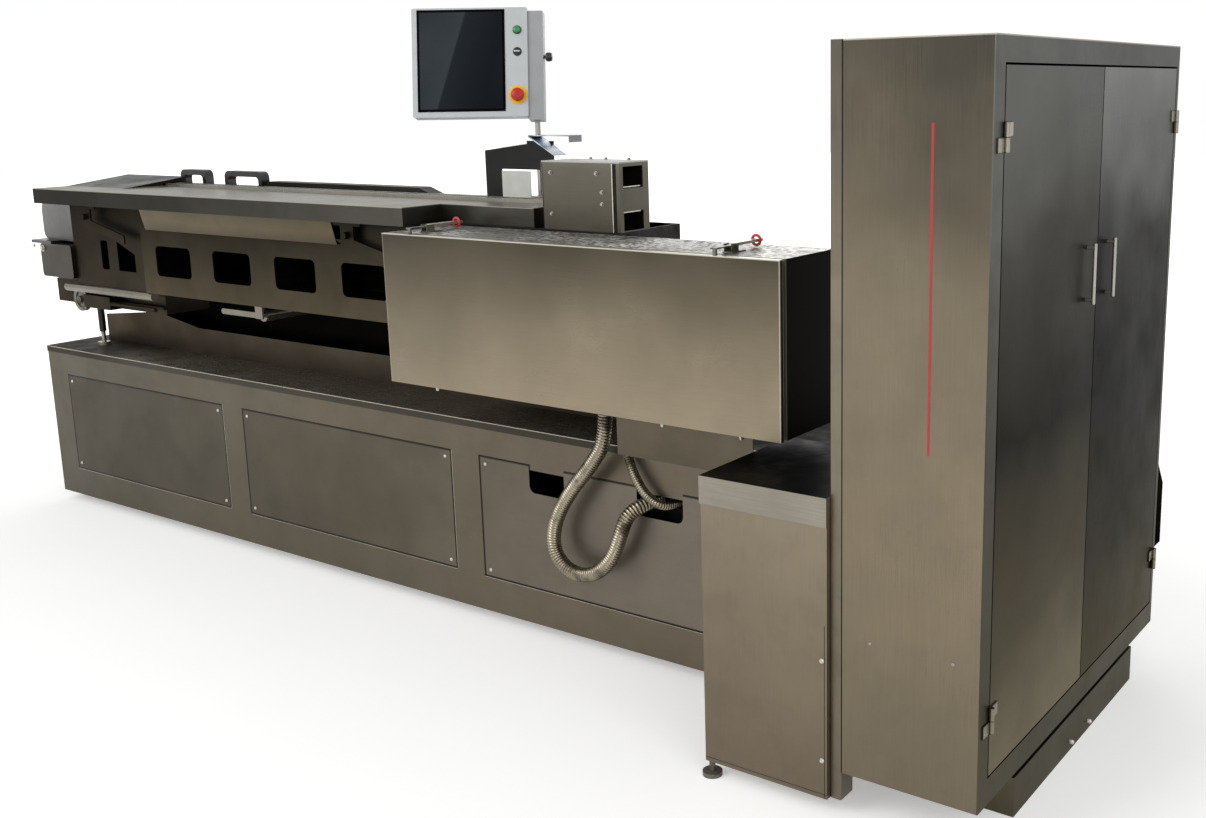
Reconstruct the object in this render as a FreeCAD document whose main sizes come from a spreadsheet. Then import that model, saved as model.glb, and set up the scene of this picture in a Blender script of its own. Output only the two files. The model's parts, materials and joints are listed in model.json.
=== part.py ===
import FreeCAD, Part
import math
import os
import re
import Sketcher

# Can filling machine: a long base cabinet carries a beam with a filling table, a drive box hangs in
# the table's notch, and an electrical cabinet with two doors stands at the right-hand end.
# Frame: X along the machine, Y into depth, Z up from the floor; the origin lies on the floor
# below the middle of the whole outline. "s" sizes run from the base's left end, "t" sizes run back
# from the electrical cabinet's front face.

DRIVING = (
    ("sheet_wall", 3, "sheet metal thickness"),
    ("panel_gap", 2, "seam round a fixed panel"),
    ("seat_gap", 0.3, "play between seated pieces"),
    ("base_clear", 42, "floor to the underside of the base"),
    ("base_length", 4170, "base cabinet, left end to electrical cabinet"),
    ("base_depth", 640, "base cabinet, front to rear"),
    ("base_height", 698, "floor to the base cabinet's top face"),
    ("base_front", 408, "base front face, behind the cabinet's front face"),
    ("base_lip", 22, "height of the top sheet's folded edge"),
    ("panel_low", 164, "floor to the base panels"),
    ("panel_high", 417, "height of the base panels"),
    ("panel_one_start", 142, "first panel's left edge"),
    ("panel_short", 36, "the first panel is narrower by this much"),
    ("panel_space_one", 125, "bar between the first and second panel"),
    ("panel_space_two", 130, "bar between the second and third panel"),
    ("panel_end", 76, "third panel to the pedestal"),
    ("rebate", 18, "width of the ledge a panel seats on"),
    ("notch_one_wide", 147, "left hose notch width"),
    ("notch_two_wide", 172, "right hose notch width"),
    ("notch_between", 290, "space between the hose notches"),
    ("notch_end", 295, "right hose notch to the panel's right edge"),
    ("notch_deep", 92, "height of the hose notches"),
    ("notch_round", 24, "corner radius of the hose notches"),
    ("leveller_radius", 26, "levelling foot, disc radius"),
    ("leveller_disc", 12, "levelling foot, disc height"),
    ("leveller_stem", 8, "levelling foot, stem radius"),
    ("leveller_inset", 130, "base feet, in from the base's edges"),
    ("leveller_corner", 12, "pedestal feet, in from the pedestal's corner"),
    ("pedestal_wide", 361, "pedestal width"),
    ("pedestal_proud", 16, "pedestal face in front of the cabinet"),
    ("pedestal_rise", 110, "pedestal's cap above the base's top face"),
    ("cap_height", 72, "height of the pedestal cap's apron"),
    ("cap_proud", 3, "cap overhang"),
    ("post_wide", 30, "corner post width"),
    ("post_deep", 60, "corner post depth"),
    ("cab_wide", 354, "electrical cabinet, front width"),
    ("cab_deep", 1310, "electrical cabinet, depth"),
    ("cab_height", 1842, "floor to the electrical cabinet's roof"),
    ("cab_raised", 116, "floor to the electrical cabinet's underside"),
    ("stile", 52, "door frame, front member"),
    ("rear_stile", 20, "door frame, rear member"),
    ("header", 57, "door frame, top member"),
    ("sill", 66, "door frame, bottom member"),
    ("front_door_wide", 610, "front door's width"),
    ("door_gap", 5, "gap round the doors"),
    ("door_thick", 22, "door depth"),
    ("door_fold", 18, "width of the door's folded edge"),
    ("hinge_radius", 6, "hinge knuckle radius"),
    ("hinge_pin", 3, "hinge pin radius"),
    ("hinge_play", 0.05, "radial play on the hinge pin"),
    ("hinge_high", 64, "hinge height"),
    ("hinge_leaf", 40, "hinge leaf width"),
    ("hinge_short", 20, "hinge leaf width on the rear member"),
    ("hinge_drop", 241, "cabinet roof to the lower end of the upper hinges"),
    ("hinge_rise", 179, "cabinet underside to the lower hinges"),
    ("handle_low", 1208, "floor to the door handles"),
    ("handle_long", 150, "door handle length"),
    ("handle_reach", 24, "door handle, door face to outer face"),
    ("handle_bar", 10, "door handle bar diameter"),
    ("handle_inset", 72, "door handle from the door's free edge"),
    ("plinth_high", 104, "plinth height"),
    ("plinth_front", 220, "plinth, behind the cabinet's front"),
    ("plinth_back", 190, "plinth, in front of the cabinet's rear"),
    ("plinth_neck", 20, "shadow gap's depth above the plinth"),
    ("fan_reach", 70, "rear fan cowl projection"),
    ("fan_wide", 190, "rear fan cowl width"),
    ("fan_high", 280, "rear fan cowl height"),
    ("fan_low", 352, "floor to the rear fan cowl"),
    ("fan_slope", 90, "drop of the rear fan cowl's slanted top"),
    ("fan_edge", 4, "rear fan cowl to the door side"),
    ("table_start", 240, "table's left end"),
    ("table_front", 300, "table's front edge"),
    ("table_back", 800, "table's rear edge"),
    ("table_top_z", 1392, "floor to the table's top face"),
    ("table_skirt", 60, "table skirt height"),
    ("table_gap", 38, "table's notch to the drive box's left end"),
    ("table_clear", 11, "table's stepped edge behind the drive box"),
    ("table_over", 372, "table's right end past the drive box's left end"),
    ("beam_inset", 30, "beam plates inside the table's edges"),
    ("beam_plate", 6, "beam plate thickness"),
    ("beam_high", 326, "height of the beam plates"),
    ("beam_start", 930, "front beam plate's left end"),
    ("beam_over", 705, "beam's right end past the drive box's left end"),
    ("cross_two", 1668, "middle cross plate"),
    ("window_in", 88, "first beam window, past the beam plate's left end"),
    ("window_end", 169, "last beam window to the drive box"),
    ("window_wide", 220, "beam window width"),
    ("window_rise", 72, "beam's lower edge to its windows"),
    ("window_high", 116, "beam window height"),
    ("window_round", 20, "beam window corner radius"),
    ("tail_set", 16, "tail plate behind the front beam plate"),
    ("slot_start", 616, "tail slot's left edge"),
    ("slot_wide", 50, "tail slot width"),
    ("slot_round", 10, "tail slot corner radius"),
    ("hatch_start", 732, "tail hatch's left edge"),
    ("hatch_wide", 118, "tail hatch width"),
    ("hatch_slant", 46, "drop of the tail hatch's slanted top"),
    ("gutter_start", 985, "deflector's left end"),
    ("gutter_margin", 388, "deflector's right end to the drive box"),
    ("gutter_drop", 137, "table top to the deflector's lower edge"),
    ("gutter_set", 8, "deflector's bend in front of the beam plate"),
    ("drive_margin", 247, "drive box's right end to the base's right end"),
    ("drive_long", 1445, "drive box length"),
    ("drive_front", 180, "drive box cover's front face"),
    ("drive_deep", 272, "drive box depth with its cover"),
    ("drive_clear", 161, "base top to the drive box's underside"),
    ("drive_drop", 66, "table top to the drive box's top"),
    ("cover_thick", 16, "drive box cover depth"),
    ("cover_seam", 10, "recess between cover and body"),
    ("seam_inset", 16, "depth of that recess"),
    ("bracket_long", 458, "drive box support's length"),
    ("bracket_set", 47, "drive box support's face behind the cover's face"),
    ("bracket_rise", 38, "base top to the drive box support"),
    ("bracket_leg", 40, "drive box support's leg width"),
    ("bracket_leg_in", 30, "legs in from the support's ends"),
    ("bracket_leg_back", 8, "legs' front face behind the base's front"),
    ("housing_in", 418, "small housing past the drive box's left end"),
    ("housing_gap", 5, "drive box's rear to the small housing"),
    ("housing_deep", 138, "small housing's depth"),
    ("housing_rise", 147, "table top to the small housing's top"),
    ("housing_wide", 297, "small housing's width"),
    ("frame_bar", 28, "side frame's rear bar width"),
    ("frame_slim", 16, "side frame's front bar width"),
    ("frame_window", 64, "side frame's upper opening, height"),
    ("frame_edge", 4, "side frame's bottom bar"),
    ("frame_top", 14, "side frame's top bar"),
    ("frame_cross", 68, "side frame's middle bar"),
    ("guard_back", 109, "chute guard's left edge before the drive box"),
    ("guard_inset", 50, "chute guard's face before the table's rear edge"),
    ("guard_rise", 97, "table top to the chute guard"),
    ("guard_wide", 250, "chute guard's width"),
    ("guard_high", 86, "chute guard's height"),
    ("guard_tip", 30, "height of the chute guard's right edge"),
    ("guard_shoulder", 62, "height of the chute guard's left edge"),
    ("guard_peak", 50, "chute guard's highest point from its right edge"),
    ("guard_leg", 76, "chute guard's leg width"),
    ("slide_long", 110, "infeed slide's length along the machine"),
    ("slide_in", 13, "infeed slide past the guard's right edge"),
    ("slide_fall", 60, "infeed slide's fall"),
    ("slide_deep", 60, "infeed slide's width"),
    ("slide_lift", 25, "infeed slide's upper edge above the guard"),
    ("wing_long", 176, "length of the slide's flat wing"),
    ("wing_lip", 16, "turned-down end of the flat wing"),
    ("splash_in", 8, "splash plate past the guard's leg"),
    ("splash_wide", 130, "splash plate width"),
    ("splash_high", 92, "splash plate height"),
    ("hmi_in", 123, "panel post past the drive box's left end"),
    ("hmi_inset", 30, "panel post before the table's rear edge"),
    ("hmi_rise", 252, "table top to the panel's side box"),
    ("hmi_wide", 384, "operator panel width"),
    ("hmi_high", 362, "operator panel height"),
    ("hmi_thick", 46, "operator panel depth"),
    ("hmi_side", 51, "side box width"),
    ("side_drop", 11, "side box below the panel's edges"),
    ("hmi_yaw", 34, "operator panel turned to the user, degrees"),
    ("hmi_tilt", 11, "operator panel tipped back, degrees"),
    ("hmi_post", 9, "panel post radius"),
    ("hmi_neck", 24, "swivel neck height"),
    ("hmi_lift", 17, "panel's lower edge above the post"),
    ("post_foot_wide", 80, "panel post's foot plate, width"),
    ("post_foot_deep", 50, "panel post's foot plate, depth"),
    ("post_foot_high", 8, "panel post's foot plate, thickness"),
    ("case_proud", 6, "operator panel in front of its side box"),
    ("case_round", 6, "operator panel corner radius"),
    ("side_round", 3, "side box corner radius"),
    ("screen_wide", 292, "screen width"),
    ("screen_high", 338, "screen height"),
    ("screen_thick", 2, "screen thickness"),
    ("screen_round", 4, "screen corner radius"),
    ("screen_in", 17, "screen from the panel's left edge"),
    ("screen_up", 18, "screen from the panel's lower edge"),
    ("button_in", 58, "button column past the screen's width"),
    ("stem", 10, "button stem radius"),
    ("well_deep", 12, "button well depth"),
    ("press_gap", 4, "button travel left behind the heads"),
    ("button_radius", 12, "start button radius"),
    ("start_reach", 5, "start button head height"),
    ("start_drop", 75, "panel's top edge to the start button"),
    ("selector_reach", 9, "selector knob height"),
    ("selector_drop", 147, "panel's top edge to the selector"),
    ("stop_radius", 22, "emergency stop head radius"),
    ("stop_reach", 15, "emergency stop head height"),
    ("stop_up", 71, "panel's lower edge to the emergency stop"),
    ("collar_radius", 31, "emergency stop collar radius"),
    ("collar_thick", 2, "emergency stop collar thickness"),
    ("collar_play", 2, "emergency stop collar round the stem"),
    ("knob_radius", 15, "clamp knob radius"),
    ("knob_deep", 23, "clamp knob length"),
    ("knob_drop", 163, "panel's top edge to the clamp knob"),
    ("hose_large", 46, "large hose diameter"),
    ("hose_small", 30, "small hose diameter"),
    ("gland_high", 22, "hose gland height"),
    ("gland_proud", 7, "hose gland wall over the hose"),
    ("hose_bracket_back", 476, "hose bracket's rear face"),
    ("hose_bracket_wide", 250, "hose bracket width"),
    ("hose_bracket_high", 150, "hose bracket height"),
    ("hose_bracket_drop", 139, "base panels' upper edge to the hose bracket"),
    ("hose_bracket_in", 40, "hose bracket left of the right notch"),
    ("pan_start", 90, "catch trough's left end"),
    ("pan_high", 106, "height of the trough's front wall"),
    ("pan_front", 640, "trough's front face"),
    ("pan_deep", 93, "trough's depth"),
    ("ramp_tip", 112, "height of the trough's left edge"),
    ("ramp_peak", 482, "the trough wall's highest point"),
    ("ramp_rise", 152, "height of that point"),
    ("ramp_end", 777, "end of the trough wall's sloping edge"),
    ("pan_back_start", 330, "left end of the trough's rear wall"),
    ("pan_back_high", 232, "height of the trough's rear wall"),
    ("foot_one", 214, "first foot"),
    ("foot_two", 1000, "second foot"),
    ("foot_three", 2100, "third foot"),
    ("foot_end", 100, "fourth foot, in from the beam's right end"),
    ("foot_inset", 33, "rear feet before the table's rear edge"),
    ("foot_radius", 26, "foot disc radius"),
    ("foot_disc", 14, "foot disc height"),
    ("stem_radius", 9, "foot stem radius"),
    ("sleeve_radius", 14, "foot sleeve radius"),
    ("stem_bare", 60, "stem left bare below the sleeve"),
    ("tail_beam_start", 160, "cross member below the tail, left end"),
    ("tail_beam_lap", 10, "cross member below the beam's first cross plate"),
    ("tail_beam_high", 96, "cross member below the tail, height"),
    ("tail_beam_front", 400, "cross member below the tail, front face"),
    ("tail_beam_deep", 190, "cross member below the tail, depth"),
    ("tail_foot_in", 45, "first foot before the cross member's rear face"),
    ("hood_in", 20, "table hood from the table's left end"),
    ("hood_long", 420, "table hood length"),
    ("hood_front", 420, "table hood's front edge"),
    ("hood_deep", 290, "table hood depth"),
    ("hood_high", 34, "table hood height at the rear"),
    ("arch_one", 628, "left lifting arch"),
    ("arch_two", 928, "right lifting arch"),
    ("arch_one_wide", 172, "left lifting arch width"),
    ("arch_two_wide", 238, "right lifting arch width"),
    ("arch_high", 62, "lifting arch height"),
    ("arch_round", 26, "lifting arch corner radius"),
    ("arch_bar", 22, "lifting arch bar width"),
    ("arch_deep", 38, "lifting arch depth"),
    ("arch_inset", 80, "lifting arches before the table's rear edge"),
    ("strip_start", 1168, "chain cover's left end"),
    ("strip_long", 950, "chain cover length"),
    ("strip_high", 24, "chain cover height"),
    ("strip_slope", 70, "chain cover's sloping end"),
    ("strip_bevel", 20, "chain cover's bevelled left end"),
    ("strip_inset", 70, "chain cover before the table's rear edge"),
    ("strip_deep", 60, "chain cover depth"),
    ("rail_start", 690, "guide rails' left end"),
    ("rail_front", 610, "front guide rail"),
    ("rail_pitch", 42, "spacing of the guide rails"),
    ("rail_wide", 8, "guide rail width"),
    ("rail_high", 12, "guide rail height"),
    ("clamp_one", 609, "left skirt clamp's knob"),
    ("clamp_margin", 314, "right skirt clamp's knob to the drive box"),
    ("clamp_wide", 66, "skirt clamp's rail, half length"),
    ("clamp_rail", 10, "skirt clamp's rail height"),
    ("clamp_half", 32, "skirt clamp's block, half width"),
    ("clamp_block", 62, "skirt clamp's rail top to its block's lower edge"),
    ("clamp_knob_drop", 41, "skirt clamp's rail top to its knob"),
    ("clamp_nose", 62, "left end of the skirt clamp's arm from the knob"),
    ("clamp_arm", 250, "skirt clamp's arm reach"),
    ("clamp_fall", 50, "fall of the arm's upper edge"),
    ("clamp_arm_high", 30, "height of the arm's right end"),
    ("clamp_knob", 12, "skirt clamp knob radius"),
    ("clamp_knob_reach", 16, "skirt clamp knob length"),
    ("tail_box_start", 190, "tail box's left end"),
    ("tail_box_long", 231, "tail box length"),
    ("tail_box_high", 136, "tail box height"),
    ("tail_box_rise", 20, "beam's lower edge to the tail box"),
    ("tail_box_round", 14, "tail box corner radius"),
    ("tail_box_deep", 150, "tail box depth"),
    ("flange_out", 64, "tail flange, beyond the box"),
    ("flange_long", 150, "tail flange length"),
    ("flange_high", 12, "tail flange thickness"),
    ("tail_bracket_out", 30, "tail bracket beyond the box"),
    ("tail_bracket_set", 40, "tail bracket behind the box's front"),
    ("tail_bracket_deep", 60, "tail bracket depth"),
    ("tail_bracket_round", 36, "tail bracket corner radius"),
    ("tail_rail_start", 340, "tail rail's left end"),
    ("tail_rail_long", 617, "tail rail length"),
    ("tail_rail_radius", 17, "tail rail radius"),
    ("wheel_middle", 380, "tail wheel's axis"),
    ("wheel_drop", 71, "beam's lower edge to the tail wheel's axis"),
    ("wheel_radius", 50, "tail wheel radius"),
    ("wheel_dish", 34, "radius of the tail wheel's turned recess"),
    ("wheel_dish_deep", 5, "depth of that recess"),
    ("wheel_thick", 18, "tail wheel thickness"),
    ("wheel_front", 370, "tail wheel's front face"),
    ("wheel_nose", 8, "tail wheel shaft, in front of the wheel"),
    ("shaft_radius", 14, "tail wheel shaft radius"),
    ("gear_start", 440, "tail gear case, left end"),
    ("gear_long", 190, "tail gear case, length"),
    ("gear_high", 52, "tail gear case, height"),
    ("gear_deep", 50, "tail gear case, depth"),
    ("link_radius", 8, "tail link rod radius"),
    ("link_long", 310, "tail link rods, length"),
    ("link_pitch", 40, "spacing of the tail link rods"),
    ("roller_middle", 1612, "idler roller's axis"),
    ("roller_drop", 34, "beam's lower edge to the idler roller's axis"),
    ("roller_radius", 24, "idler roller radius"),
    ("roller_side_gap", 12, "idler roller, clear of the beam plates"),
    ("roller_arm", 230, "idler roller's arm length"),
    ("hanger_wide", 40, "roller hanger width"),
    ("hanger_rise", 40, "roller hanger height on the beam plate"),
    ("latch_in", 117, "left cover latch from the drive box's left end"),
    ("latch_out", 200, "right cover latch from the drive box's right end"),
    ("latch_set", 66, "cover latches' bases behind the seam"),
    ("latch_wide", 34, "latch base width"),
    ("latch_deep", 60, "latch base depth"),
    ("latch_ear_out", 10, "latch ears' inner faces from the middle"),
    ("latch_ear_deep", 32, "latch ears' depth"),
    ("latch_ear", 8, "latch eye radius"),
    ("latch_pivot", 16, "latch pivot height"),
    ("latch_arm", 130, "latch lever length"),
    ("latch_nose", 6, "latch spindle radius"),
)

DERIVED = (
    ("half_length", "(base_length + post_wide + cab_wide + handle_reach) / 2"),
    ("left_end", "-half_length"),
    ("depth_all", "pedestal_proud + cap_proud + cab_deep + fan_reach"),
    ("front_line", "pedestal_proud + cap_proud - depth_all / 2"),
    ("base_y", "front_line + base_front"),
    ("wall_high", "base_height - base_clear - sheet_wall"),
    ("pedestal_start", "base_length - pedestal_wide"),
    ("pedestal_height", "base_height + pedestal_rise"),
    ("panel_row", "panel_one_start + panel_space_one + panel_space_two + panel_end"),
    ("panel_wide", "(pedestal_start - panel_row + panel_short) / 3"),
    ("panel_one_wide", "panel_wide - panel_short"),
    ("panel_two_start", "panel_one_start + panel_one_wide + panel_space_one"),
    ("panel_three_start", "panel_two_start + panel_wide + panel_space_two"),
    ("notch_two_start", "panel_three_start + panel_wide - notch_end - notch_two_wide"),
    ("notch_one_start", "notch_two_start - notch_between - notch_one_wide"),
    ("post_x", "left_end + base_length"),
    ("cab_x", "post_x + post_wide"),
    ("door_x", "cab_x + cab_wide"),
    ("door_low", "cab_raised + sill + door_gap"),
    ("door_high", "cab_height - header - door_gap - door_low"),
    ("rear_door_wide", "cab_deep - stile - rear_stile - 3 * door_gap - front_door_wide"),
    ("hinge_top_z", "cab_height - hinge_drop"),
    ("hinge_low_z", "cab_raised + hinge_rise"),
    ("pivot_x", "door_x + hinge_radius"),
    ("pivot_front_y", "front_line + stile + door_gap / 2"),
    ("pivot_rear_y", "front_line + cab_deep - rear_stile - door_gap / 2"),
    ("drive_end", "base_length - drive_margin"),
    ("drive_start", "drive_end - drive_long"),
    ("drive_back", "drive_front + drive_deep"),
    ("drive_low", "base_height + drive_clear"),
    ("drive_top", "table_top_z - drive_drop"),
    ("table_wide_end", "drive_start - table_gap"),
    ("table_step", "drive_back + table_clear"),
    ("table_end", "drive_start + table_over"),
    ("skirt_low", "table_top_z - table_skirt"),
    ("beam_low", "skirt_low - beam_high"),
    ("beam_front", "table_front + beam_inset"),
    ("beam_back", "table_back - beam_inset"),
    ("beam_end", "drive_start + beam_over"),
    ("window_first", "beam_start + window_in"),
    ("window_pitch", "(drive_start - window_end - window_wide - window_first) / 3"),
    ("tail_front", "beam_front + tail_set"),
    ("tail_start", "tail_box_start + tail_box_long"),
    ("tail_box_low", "beam_low + tail_box_rise"),
    ("wheel_z", "beam_low - wheel_drop"),
    ("roller_z", "beam_low - roller_drop"),
    ("gutter_end", "drive_start - gutter_margin"),
    ("gutter_low", "table_top_z - gutter_drop"),
    ("gutter_back", "beam_front - gutter_set"),
    ("bracket_low", "base_height + bracket_rise"),
    ("bracket_end", "pedestal_start - cap_proud"),
    ("bracket_start", "bracket_end - bracket_long"),
    ("bracket_front", "drive_front + bracket_set"),
    ("housing_start", "drive_start + housing_in"),
    ("housing_front", "drive_back + housing_gap"),
    ("housing_top", "table_top_z + housing_rise"),
    ("guard_start", "drive_start - guard_back"),
    ("guard_plane", "table_back - guard_inset"),
    ("guard_low", "table_top_z + guard_rise"),
    ("hmi_low", "table_top_z + hmi_rise"),
    ("pivot_hmi_x", "left_end + drive_start + hmi_in"),
    ("pivot_hmi_y", "front_line + table_back - hmi_inset"),
    ("latch_front", "drive_front + latch_set"),
    ("latch_z", "drive_top + latch_pivot"),
)

doc = FreeCAD.newDocument("can_filling_machine")
dims = doc.addObject("Spreadsheet::Sheet", "Dims")
ALIASES = set()


def fill_sheet():
    row = 1
    for alias, number, words in DRIVING:
        dims.set(f"A{row}", alias)
        dims.set(f"B{row}", str(number))
        dims.setAlias(f"B{row}", alias)
        dims.set(f"C{row}", words)
        ALIASES.add(alias)
        row += 1
    for alias, formula in DERIVED:
        dims.set(f"A{row}", alias)
        dims.set(f"B{row}", "=" + formula)
        dims.setAlias(f"B{row}", alias)
        ALIASES.add(alias)
        row += 1
    doc.recompute()


def bound(text):
    """A formula over the sheet's names, as an expression of the document."""
    def prefix(match):
        word = match.group(0)
        return "Dims." + word if word in ALIASES else word
    return re.sub(r"[a-z_]+", prefix, str(text))


def size(text):
    """The number that such a formula gives now."""
    return float(dims.evalExpression(bound(text)))


def place(thing, x, y, z):
    thing.setExpression("Placement.Base.x", bound(x))
    thing.setExpression("Placement.Base.y", bound(y))
    thing.setExpression("Placement.Base.z", bound(z))
    return thing


def block(name, x, y, z, wide, deep, high):
    thing = doc.addObject("Part::Box", name)
    thing.setExpression("Length", bound(wide))
    thing.setExpression("Width", bound(deep))
    thing.setExpression("Height", bound(high))
    return place(thing, x, y, z)


TURNS = {
    "z": FreeCAD.Rotation(),
    "y": FreeCAD.Rotation(FreeCAD.Vector(1, 0, 0), -90),
    "x": FreeCAD.Rotation(FreeCAD.Vector(0, 1, 0), 90),
}


def rod(name, x, y, z, radius, long, along="z"):
    thing = doc.addObject("Part::Cylinder", name)
    thing.Placement.Rotation = TURNS[along]
    thing.setExpression("Radius", bound(radius))
    thing.setExpression("Height", bound(long))
    return place(thing, x, y, z)


def cut(name, base, *tools):
    tool = tools[0]
    if len(tools) > 1:
        tool = doc.addObject("Part::MultiFuse", name + "_tools")
        tool.Shapes = list(tools)
    thing = doc.addObject("Part::Cut", name)
    thing.Base = base
    thing.Tool = tool
    return thing


def fuse(name, *pieces):
    thing = doc.addObject("Part::MultiFuse", name)
    thing.Shapes = list(pieces)
    thing.Refine = True
    return thing


def group(name, *pieces):
    """Like solids that do not touch, kept together as one sub-part."""
    thing = doc.addObject("Part::Compound", name)
    thing.Links = list(pieces)
    return thing


def pin_point(sketch, index, position, x, y):
    row = sketch.addConstraint(Sketcher.Constraint("DistanceX", index, position, size(x)))
    sketch.setExpression(f"Constraints[{row}]", bound(x))
    row = sketch.addConstraint(Sketcher.Constraint("DistanceY", index, position, size(y)))
    sketch.setExpression(f"Constraints[{row}]", bound(y))


def polygon(sketch, points):
    """A closed loop of straight edges through points given as formulas."""
    first = sketch.GeometryCount
    spots = [FreeCAD.Vector(size(x), size(y), 0) for x, y in points]
    count = len(points)
    for step in range(count):
        sketch.addGeometry(Part.LineSegment(spots[step], spots[(step + 1) % count]))
    for step in range(count):
        following = first + (step + 1) % count
        sketch.addConstraint(Sketcher.Constraint("Coincident", first + step, 2, following, 1))
    for step, (x, y) in enumerate(points):
        pin_point(sketch, first + step, 1, x, y)


def rectangle(sketch, x, y, wide, high):
    right = f"{x} + {wide}"
    top = f"{y} + {high}"
    polygon(sketch, [(x, y), (right, y), (right, top), (x, top)])


def rounded(sketch, x, y, wide, high, radius):
    """A rectangle with four equal round corners."""
    first = sketch.GeometryCount
    low_x, low_y, run, rise, bend = (size(each) for each in (x, y, wide, high, radius))
    top_x = low_x + run
    top_y = low_y + rise
    corners = (
        (top_x - bend, low_y + bend, -90),
        (top_x - bend, top_y - bend, 0),
        (low_x + bend, top_y - bend, 90),
        (low_x + bend, low_y + bend, 180),
    )
    edges = (
        ((low_x + bend, low_y), (top_x - bend, low_y)),
        ((top_x, low_y + bend), (top_x, top_y - bend)),
        ((top_x - bend, top_y), (low_x + bend, top_y)),
        ((low_x, top_y - bend), (low_x, low_y + bend)),
    )
    for (start, end), (mid_x, mid_y, turn) in zip(edges, corners):
        sketch.addGeometry(Part.LineSegment(FreeCAD.Vector(*start, 0), FreeCAD.Vector(*end, 0)))
        ring = Part.Circle(FreeCAD.Vector(mid_x, mid_y, 0), FreeCAD.Vector(0, 0, 1), bend)
        sketch.addGeometry(Part.ArcOfCircle(ring, math.radians(turn), math.radians(turn + 90)))
    for side in range(4):
        line = first + 2 * side
        arc = line + 1
        after = first + (2 * side + 2) % 8
        sketch.addConstraint(Sketcher.Constraint("Tangent", line, 2, arc, 1))
        sketch.addConstraint(Sketcher.Constraint("Tangent", arc, 2, after, 1))
        if side:
            sketch.addConstraint(Sketcher.Constraint("Equal", first + 1, arc))
    sketch.addConstraint(Sketcher.Constraint("Horizontal", first))
    sketch.addConstraint(Sketcher.Constraint("Vertical", first + 2))
    sketch.addConstraint(Sketcher.Constraint("Horizontal", first + 4))
    sketch.addConstraint(Sketcher.Constraint("Vertical", first + 6))
    limits = (
        ("Radius", (first + 1,), radius),
        ("DistanceY", (first, 1), y),
        ("DistanceX", (first + 2, 1), f"{x} + {wide}"),
        ("DistanceY", (first + 4, 1), f"{y} + {high}"),
        ("DistanceX", (first + 6, 1), x),
    )
    for kind, target, formula in limits:
        row = sketch.addConstraint(Sketcher.Constraint(kind, *target, size(formula)))
        sketch.setExpression(f"Constraints[{row}]", bound(formula))


def disc(sketch, x, y, radius):
    first = sketch.GeometryCount
    middle = FreeCAD.Vector(size(x), size(y), 0)
    sketch.addGeometry(Part.Circle(middle, FreeCAD.Vector(0, 0, 1), size(radius)))
    pin_point(sketch, first, 3, x, y)
    row = sketch.addConstraint(Sketcher.Constraint("Radius", first, size(radius)))
    sketch.setExpression(f"Constraints[{row}]", bound(radius))


SHAPES = {"poly": polygon, "rect": rectangle, "round": rounded, "disc": disc}
PLANES = {"floor": "XY_Plane", "front": "XZ_Plane", "side": "YZ_Plane"}


def add_sketch(body, name, plane, loops, offset="0"):
    sketch = body.newObject("Sketcher::SketchObject", name)
    role = PLANES[plane]
    origin_plane = [each for each in body.Origin.OriginFeatures if each.Role == role][0]
    sketch.AttachmentSupport = [(origin_plane, "")]
    sketch.MapMode = "FlatFace"
    sketch.setExpression("AttachmentOffset.Base.z", bound(offset))
    for kind, *values in loops:
        SHAPES[kind](sketch, *values)
    return sketch


def extrude(name, plane, loops, long, at):
    """A body padded from one sketch: up, to the rear or to the right."""
    body = doc.addObject("PartDesign::Body", name)
    sketch = add_sketch(body, name + "_outline", plane, loops)
    pad = body.newObject("PartDesign::Pad", name + "_pad")
    pad.Profile = sketch
    pad.Reversed = plane == "front"
    pad.setExpression("Length", bound(long))
    return place(body, *at)


def pocket(body, name, plane, loops, deep, offset="0"):
    """A recess cut from a sketch plane that lies offset along the plane's normal."""
    sketch = add_sketch(body, name + "_sketch", plane, loops, offset)
    hole = body.newObject("PartDesign::Pocket", name)
    hole.Profile = sketch
    hole.setExpression("Length", bound(deep))
    hole.Reversed = plane != "front"
    body.Tip = hole
    return hole


def left(formula):
    """An X position measured from the base's left end."""
    return f"left_end + {formula}"


def deep(formula):
    """A Y position measured back from the electrical cabinet's front face."""
    return f"front_line + {formula}"


SUB_PARTS = []


def keep(thing, label):
    thing.Label = label
    SUB_PARTS.append(thing)
    return thing


fill_sheet()


# Base cabinet

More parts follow.
